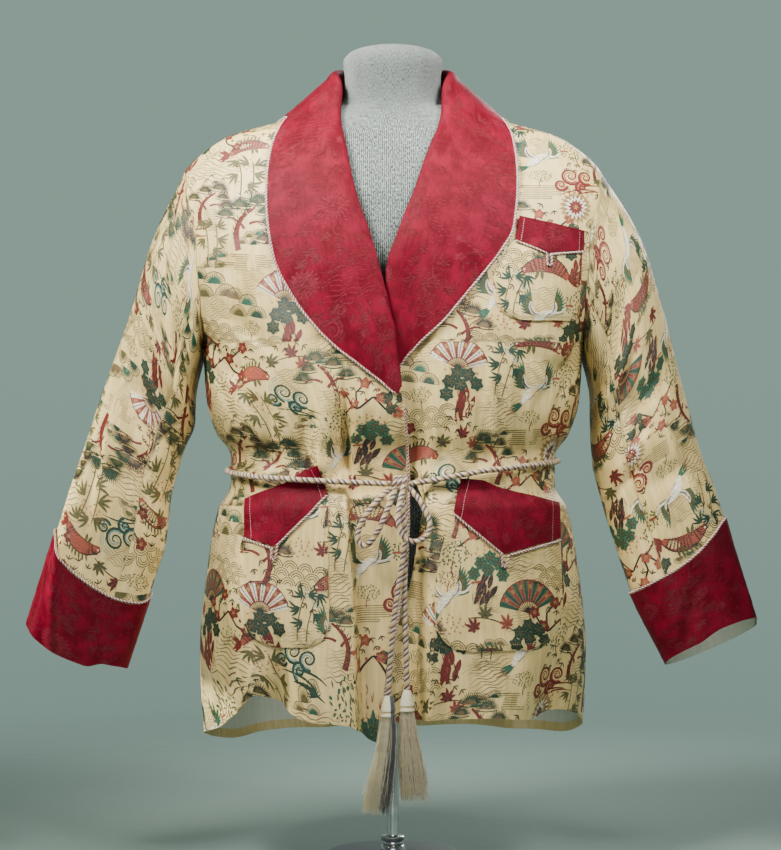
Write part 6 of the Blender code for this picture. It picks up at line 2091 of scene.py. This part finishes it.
# %% Birds, fish and fans
def crane(draw, chance):
    """A flying crane: two wings of overlapping feathers, a long neck and trailing legs."""
    tip = chance.choice(("deep_green", "dark_brown", "teal_green"))
    for side, lift in ((1, 52), (-1, 128)):
        shoulder = np.array((4 * side, 4))
        for row, (length, colour) in enumerate(((31, tip), (22, "olive"), (14, "ivory"))):
            turns = np.radians(lift + side * np.linspace(-44, 30, 9))
            spread = shoulder + np.outer(shares(9), (9 * side, 3))
            reach = length * np.linspace(0.75, 1, 9)
            draw.leaves(spread, turns, reach, 3.6, colour, 1 + row)
            draw.leaves(spread, turns + 0.06, 0.9 * reach, 0.7, "dark_brown", 2 + row)
    girth = 11 * np.sin(math.pi * (0.06 + 0.88 * shares(9)))
    draw.strokes(bow((-14, -14), (12, 10), 0.10), girth, "ivory", 4)
    breast = ((-8, -9), (-4, -6), (0, -2), (4, 1))
    draw.leaves(breast, (0.5, 0.6, 0.8, 0.9), 7, 1, "olive", 5)
    draw.strokes(bow((10, 8), (30, 17), -0.22), np.linspace(3.4, 1.8, 9), "ivory", 4)
    draw.leaves(((29, 16.5), (33, 17)), (0.2, 0.1), (6, 9), 2.8, "coral", 5)
    draw.leaves(((-13, -13), (-12, -14), (-14, -12)), (3.75, 3.95, 3.55), 15, 3.2, tip, 3)
    legs = [bow((-14, -14), (-36, -24), 0.04, 6), bow((-13, -15), (-33, -28), 0.04, 6)]
    draw.strokes(legs, 0.9, "red_brown", 2)


def carp(draw, chance):
    """A leaping carp: a bent body with rows of scales, fins and a forked tail."""
    back = chance.choice(("grey_gold", "gold", "coral"))
    line = bow((-26, -8), (24, 8), 0.22, 15)
    share = shares(15)
    girth = 20 * np.sin(math.pi * (0.10 + 0.84 * share)) ** 0.9 * (1 - 0.25 * (1 - share))
    draw.strokes(line, girth, back, 0)
    way = unit(np.gradient(line, axis=0))
    across = np.stack((-way[:, 1], way[:, 0]), axis=-1)
    for number in range(2, 13):
        rise = np.linspace(-0.42, 0.42, 6 if number % 2 else 5)
        places = line[number] + across[number] * girth[number] * rise[:, None]
        turn = math.atan2(way[number, 1], way[number, 0])
        draw.leaves(places, np.full(len(rise), turn + 2.5), 3.4, 1, "dark_brown", 1)
        draw.leaves(places, np.full(len(rise), turn - 2.5), 3.4, 1, "dark_brown", 1)
    draw.strokes(line + across * girth[:, None] * 0.5, 1.2, "dark_brown", 1)
    draw.strokes(line - across * girth[:, None] * 0.5, 1.2, "red_brown", 1)
    draw.leaves((-26, -8), (2.5, 2.8, 3.6, 3.9, 3.3), (15, 17, 17, 15, 11), 4.4, "red_brown", 1)
    edge = across * girth[:, None]
    draw.leaves((line + edge * 0.46)[5:11], np.linspace(1.6, 1.2, 6), 8, 2.6, "olive", 2)
    draw.leaves((line - edge * 0.4)[9:11], (-1.5, -1.1), 10, 4, "olive", 2)
    draw.leaves(((20, 9.5),), (0.3,), 2.6, 2.4, "ivory", 2)
    splash = [arc((38, -6), radius, 100, 200) for radius in (10, 13, 16)]
    draw.strokes(splash, 0.8, "light_blue", 0)


def fan(draw, chance):
    """An open folding fan: sectors that widen outwards, ribs and a cord."""
    leaf, other = chance.permutation(("teal_green", "light_blue", "coral", "ivory"))[:2]
    turns = np.radians(np.linspace(22, 158, 13))
    way = circle(turns)
    pivot = np.array((0, -18))
    share = np.linspace(0.36, 1, 6)
    lines = pivot + 38 * share[None, :, None] * way[:, None]
    draw.strokes(lines[::2], 7.4 * share, leaf, 0)
    draw.strokes(lines[1::2], 7.4 * share, other, 0)
    ribs = pivot + 38 * shares(7)[None, :, None] * way[:, None]
    draw.strokes(ribs, 0.9, "dark_brown", 1)
    draw.strokes([arc(pivot, radius, 20, 160, 15) for radius in (38.4, 14)], 1.3, "red_brown", 2)
    draw.leaves(lines[1::2, 3], turns[1::2], 6, 3.4, "gold", 2)
    draw.strokes(bow(pivot, (-10, -34), 0.3), 1.2, "red_brown", 1)
    draw.leaves((-10, -33), (3.9, 4.3, 4.7, 5.1), 9, 1.5, "coral", 1)


# %% Clouds, waves and mist
def cloud(draw, chance):
    """Curling cloud heads with trailing tails."""
    pairs = (("red_brown", "coral"), ("deep_green", "light_blue"), ("dark_brown", "gold"))
    dark, light = chance.choice(pairs).tolist()
    heads = ((-14, 2, 12, 250), (6, 8, 14, 230), (22, -3, 9, 200),
             (-4, -10, 9, 280))
    for x, y, radius, first in heads:
        draw.strokes(coil((x, y), radius, first, 1.6), np.linspace(3.4, 1.5, 22), dark, 1)
        draw.strokes(coil((x + 0.6, y - 0.6), 0.74 * radius, first, 1.2), np.linspace(2.2, 1, 22), light, 0)
    swell = 2 * np.sin(math.pi * np.linspace(0.08, 0.96, 9))
    for y, start, end in ((-15, -36, 10), (-19, -24, 26), (-23, -32, 4)):
        draw.strokes(bow((start, y), (end, y + 3), 0.07), swell, dark, 1)


def scallops(draw, chance):
    """Rows of overlapping wave arcs in thin lines."""
    colour = chance.choice(("grey_gold", "olive", "dark_brown"))
    for row in range(3):
        for column in range(4 - row % 2):
            centre = (-27 + 18 * column + 9 * (row % 2), -16 + 9 * row)
            draw.strokes([arc(centre, radius, 8, 172, 7) for radius in (9, 6.4, 3.8)], 0.9, colour, 0)


def ripples(draw, chance):
    """Long drawn-out lines of water."""
    share = shares(11)
    for number, y in enumerate(np.linspace(-21, 21, 10)):
        half = chance.uniform(20, 34)
        middle = chance.uniform(-8, 8)
        x = middle + half * (2 * share - 1)
        line = np.stack((x, y + 2.2 * np.sin(0.26 * x + 0.9 * number)), axis=-1)
        draw.strokes(line, 1.1 * np.sin(math.pi * (0.06 + 0.9 * share)), "grey_gold", 0)


def sprigs(draw, chance):
    """Small three-leaved sprigs strewn about."""
    colour = chance.choice(("dark_brown", "deep_green", "dark_brown"))
    places = ((-24, -14), (-6, -20), (14, -12), (27, -20), (-16, 6), (4, 2),
              (22, 8), (-2, 19))
    for x, y in places:
        turns = np.radians(chance.uniform(230, 310) + np.array((-52, 0, 52)))
        draw.leaves((x, y), turns, chance.uniform(8, 12, 3), 2.3, colour, 1, 0.05)


def petals(draw, chance):
    """Fallen petals in open clusters."""
    colour = chance.choice(("coral", "red_brown", "coral", "teal_green"))
    number = np.arange(22)
    reach = 5.2 * np.sqrt(number + 0.5)
    places = np.stack((1.3 * reach * np.cos(2.4 * number), 0.75 * reach * np.sin(2.4 * number)), axis=-1)
    turns = chance.uniform(0, 3.1, 22)
    draw.leaves(places, turns, 4.6, 2, colour, 1)
    draw.leaves(places, turns + 1.2, 4, 1.4, colour, 1)


def mist(draw, chance):
    """Flat banks of mist with rounded ends."""
    colour = chance.choice(("grey_gold", "olive"))
    for y, start, end in ((8, -18, 26), (3, -34, 18), (-2, -24, 34), (-7, -12, 20)):
        draw.strokes([bow((start, y - low), (end, y - low), 0, 5) for low in (0, 2.6)], 0.8, colour, 0)
        ends = [arc((start, y - 1.3), 1.3, 90, 270, 6), arc((end, y - 1.3), 1.3, 270, 450, 6)]
        draw.strokes(ends, 0.8, colour, 0)


# %% [markdown]
# ### The repeat
# The chart below is one repeat of the pattern: a row of names for each row of motifs. Every second
# column drops by half a row, each motif is a little moved, turned and sized by chance, and the next
# repeat beside it drops by half its height, as weavers do to hide the joins.

# %% One repeat
CHART = (
    (pine, ripples, crane, crag, fan, scallops),
    (bamboo, cloud, bush, plum, ripples, tuft),
    (carp, maple, pine, mist, chrysanthemum, bamboo),
    (scallops, crag, ripples, crane, cloud, pine),
    (tuft, fan, bamboo, carp, bush, ripples),
    (mist, pine, scallops, maple, crag, plum),
)
STEP_ACROSS = 50.0
STEP_UP = 56.0
FILLERS = (sprigs, ripples, petals, tuft, sprigs, ripples, bush)
FILLER_SIZE = 0.68


def repeat(chart, slots, seed, fillers, size):
    """Draw every motif of a chart once, with thin filler drawn between them."""
    chance = np.random.default_rng(seed)
    draw = Drawing(slots)
    for row, names in enumerate(chart):
        for column, motif in enumerate(names):
            place = np.array((STEP_ACROSS * column, STEP_UP * (row + 0.5 * (column % 2))))
            draw.at(place + (0.0, 0.5 * STEP_UP), FILLER_SIZE, chance.uniform(-0.2, 0.2))
            fillers[(2 * row + 3 * column) % len(fillers)](draw, chance)
            draw.at(place + chance.uniform(-5.0, 5.0, 2), size * chance.uniform(0.88, 1.12),
                    chance.uniform(-0.3, 0.3), chance.choice((-1.0, 1.0)))
            motif(draw, chance)
    cell = (STEP_ACROSS * len(chart[0]), STEP_UP * len(chart))
    return np.concatenate(draw.points), np.concatenate(draw.faces), np.concatenate(draw.colours), cell


brocade_slots = {name: number for number, name in enumerate(THREADS)}
brocade_threads = [new_material("thread_" + name, floats(colour)) for name, colour in THREADS.items()]
brocade_repeat = repeat(CHART, brocade_slots, 5, FILLERS, 1.12)
print("faces in one repeat:", len(brocade_repeat[1]))

# %% [markdown]
# ### Onto the cloth
# A flat place is found again on the draped piece: its height gives a row, the row's own start and
# width give the share across, and the four grid points round it are blended. The thread is then
# lifted off along the cloth's normal by a quarter of a millimetre, a little more for each layer.

# %% Carry the drawing onto the pieces
THREAD_LIFT = 0.24 * MM
LAYER_LIFT = 0.05 * MM


def on_cloth(piece, flat, lift):
    """Blend the piece's grid at flat places, lifted; also tells which places are inside the cut."""
    rows, columns = piece.points.shape[:2]
    row = np.interp(flat[:, 1], piece.up, np.arange(rows))
    start = np.interp(flat[:, 1], piece.up, piece.start)
    share = (flat[:, 0] - start) / np.interp(flat[:, 1], piece.up, piece.width)
    inside = (share > 0.0) & (share < 1.0) & (flat[:, 1] > 0.0) & (flat[:, 1] < piece.up[-1])
    column = np.clip(share, 0.002, 0.998) * (columns - 1)
    low = np.minimum(row.astype(int), rows - 2)
    left = np.minimum(column.astype(int), columns - 2)
    up = (row - low)[:, None]
    across = (column - left)[:, None]

    def blend(grid):
        below = grid[low, left] * (1.0 - across) + grid[low, left + 1] * across
        above = grid[low + 1, left] * (1.0 - across) + grid[low + 1, left + 1] * across
        return below * (1.0 - up) + above * up

    return blend(piece.points) + unit(blend(piece.normals)) * lift[:, None], inside


def weave(name, piece, pattern, offset, materials):
    """One mesh with every repeat of a pattern that falls on a piece, cut off at the piece's edges."""
    points, faces, colours, cell = pattern
    ends = np.concatenate((piece.start, piece.start + piece.width)) * 1000.0
    first = np.floor((np.array((ends.min(), 0.0)) - offset) / cell).astype(int) - 1
    last = np.ceil((np.array((ends.max(), piece.up[-1] * 1000.0)) - offset) / cell).astype(int) + 1
    column, row = np.meshgrid(np.arange(first[0], last[0]), np.arange(first[1], last[1]))
    moves = np.stack((column * cell[0], row * cell[1] + 0.5 * cell[1] * (column % 2), 0.0 * row), axis=-1)
    moves = moves.reshape(-1, 3) + (*offset, 0.0)
    flat = (points[None] + moves[:, None]).reshape(-1, 3)
    faces = (faces[None] + len(points) * np.arange(len(moves))[:, None, None]).reshape(-1, 4)
    places, inside = on_cloth(piece, flat * MM, THREAD_LIFT + LAYER_LIFT * flat[:, 2])
    kept = inside[faces].any(axis=1)
    used, faces = np.unique(faces[kept], return_inverse=True)
    faces = faces.reshape(-1, 4)
    if piece.width[0] < 0.0:
        faces = faces[:, ::-1]
    slots = np.tile(colours, len(moves))[kept]
    item = add_mesh(name, places[used], [faces], materials, slots, flat[used, :2] * MM)
    print(name, "faces", len(faces))
    return item


# Where the repeat's corner lies on each piece, in millimetres of its cut.
REPEAT_CORNERS = {
    "front_right": (-180, -40),
    "front_left": (35, -120),
    "back": (10, -75),
    "sleeve_right_upper": (60, 20),
    "sleeve_right_under": (-35, 110),
    "sleeve_left_upper": (-70, -130),
    "sleeve_left_under": (120, 40),
    "pocket_lower_left": (-30, 60),
    "pocket_lower_right": (95, -20),
    "pocket_chest": (40, 140),
}
woven = {}
for name, piece in {**panels, **sleeves, **pocket_pieces}.items():
    item = weave("weave_" + name, piece, brocade_repeat, np.array(REPEAT_CORNERS[name]), brocade_threads)
    woven[name + "_cloth"] = [item]

# %% [markdown]
# ### Damask
# The collar, cuffs and bands have a pattern in their own red: the same thread turned so that it
# catches the light a little more or less than the ground. That sheen is painted, as a lighter and
# a darker copy of the one red thread.

# %% Damask pattern
DAMASK_CHART = (
    (plum, bamboo, cloud, maple),
    (bamboo, chrysanthemum, bamboo, ripples),
    (cloud, bamboo, plum, bamboo),
    (maple, ripples, chrysanthemum, scallops),
)
# The darker threads of the chart take the copy with painted shade, the others the copy with painted sheen;
# both are one red thread.
damask_slots = {name: int(name in ("dark_brown", "deep_green", "red_brown", "olive")) for name in THREADS}
damask_threads = [new_material("damask_painted_sheen", floats((0.146, 0.0028, 0.0140)), Specular_IOR_Level=0.10),
                  new_material("damask_painted_shade", floats((0.108, 0.0016, 0.0080)), Specular_IOR_Level=0.10)]
damask_repeat = repeat(DAMASK_CHART, damask_slots, 17, (sprigs, scallops, petals), 0.95)
DAMASK_CORNERS = {
    "collar_right": (-40, 30),
    "collar_left": (70, -60),
    "cuff_right": (20, 10),
    "cuff_left": (-90, 60),
    "band_lower_left": (15, 80),
    "band_lower_right": (-60, 25),
    "band_chest": (110, -35),
}
for name, piece in {**collars, **cuff_pieces, **band_pieces}.items():
    item = weave("weave_" + name, piece, damask_repeat, np.array(DAMASK_CORNERS[name]), damask_threads)
    woven[name + "_cloth"] = [item]

# %% [markdown]
# ### Stitches
# The pockets are sewn down along their sides and foot, and each band near its two ends. A stitch is
# a short ribbon that rises between the two holes where it goes through the cloth.

# %% Stitches
STITCH_STEP = 3.0 * MM
STITCH_HALF_WIDTH = 0.34 * MM
BAND_STITCH_COLUMNS = (6, 74)


def stitches(name, line, normals, material):
    """A row of stitches along a line on the cloth."""
    along = lengths(line)
    count = int(along[-1] / STITCH_STEP)
    place = STITCH_STEP * (np.arange(count)[:, None] + np.array((0.10, 0.30, 0.65, 0.85)))
    middle = np.stack([np.interp(place, along, column) for column in line.T], axis=-1)
    out = unit(np.stack([np.interp(place, along, column) for column in normals.T], axis=-1))
    side = unit(np.cross(out, np.gradient(middle, axis=1)))
    half = STITCH_HALF_WIDTH * np.array((0.5, 1.0, 1.0, 0.5))[None, :, None]
    middle = middle + out * np.array((0.20, 0.50, 0.50, 0.20))[None, :, None] * MM
    points = np.stack((middle - side * half, middle + side * half), axis=2)
    quads = grid_quads(4, 2)[None, :, ::-1] + 8 * np.arange(count)[:, None, None]
    uv = np.stack(np.broadcast_arrays(place[..., None], np.array((0.0, 0.0007))), axis=-1)
    item = add_mesh(name, points, [quads.reshape(-1, 4)], [material], None, uv)
    return item


pocket_thread = new_material("pocket_thread", spun((0.52, 0.40, 0.19)))
band_thread = new_material("band_thread", spun((0.62, 0.30, 0.28)))
for name, piece in pocket_pieces.items():
    rows, columns = piece.points.shape[:2]
    rows_down = np.arange(rows - 1, 2, -1)
    foot = np.arange(2, columns - 2)
    row = np.concatenate((rows_down, np.full(len(foot), 2), rows_down[::-1]))
    column = np.concatenate((np.full(len(rows_down), 2), foot, np.full(len(rows_down), columns - 3)))
    item = stitches("stitches_" + name, piece.points[row, column], piece.normals[row, column], pocket_thread)
    woven[name + "_cloth"].append(item)
for name, piece in band_pieces.items():
    for number, column in enumerate(BAND_STITCH_COLUMNS):
        label = "stitches_%s_%d" % (name, number)
        item = stitches(label, piece.points[:, column], piece.normals[:, column], band_thread)
        woven[name + "_cloth"].append(item)
print("stitched pieces:", len(pocket_pieces) + len(band_pieces))

# %% [markdown]
# ## What the cloth pieces are
# Each piece is printed with the size of its flat cut, which was measured row by row, and its area.

for name, (item, flat, area, held, rests_on) in sheets.items():
    area = min(area, flat[0] * flat[1])
    print(name, flat, area)
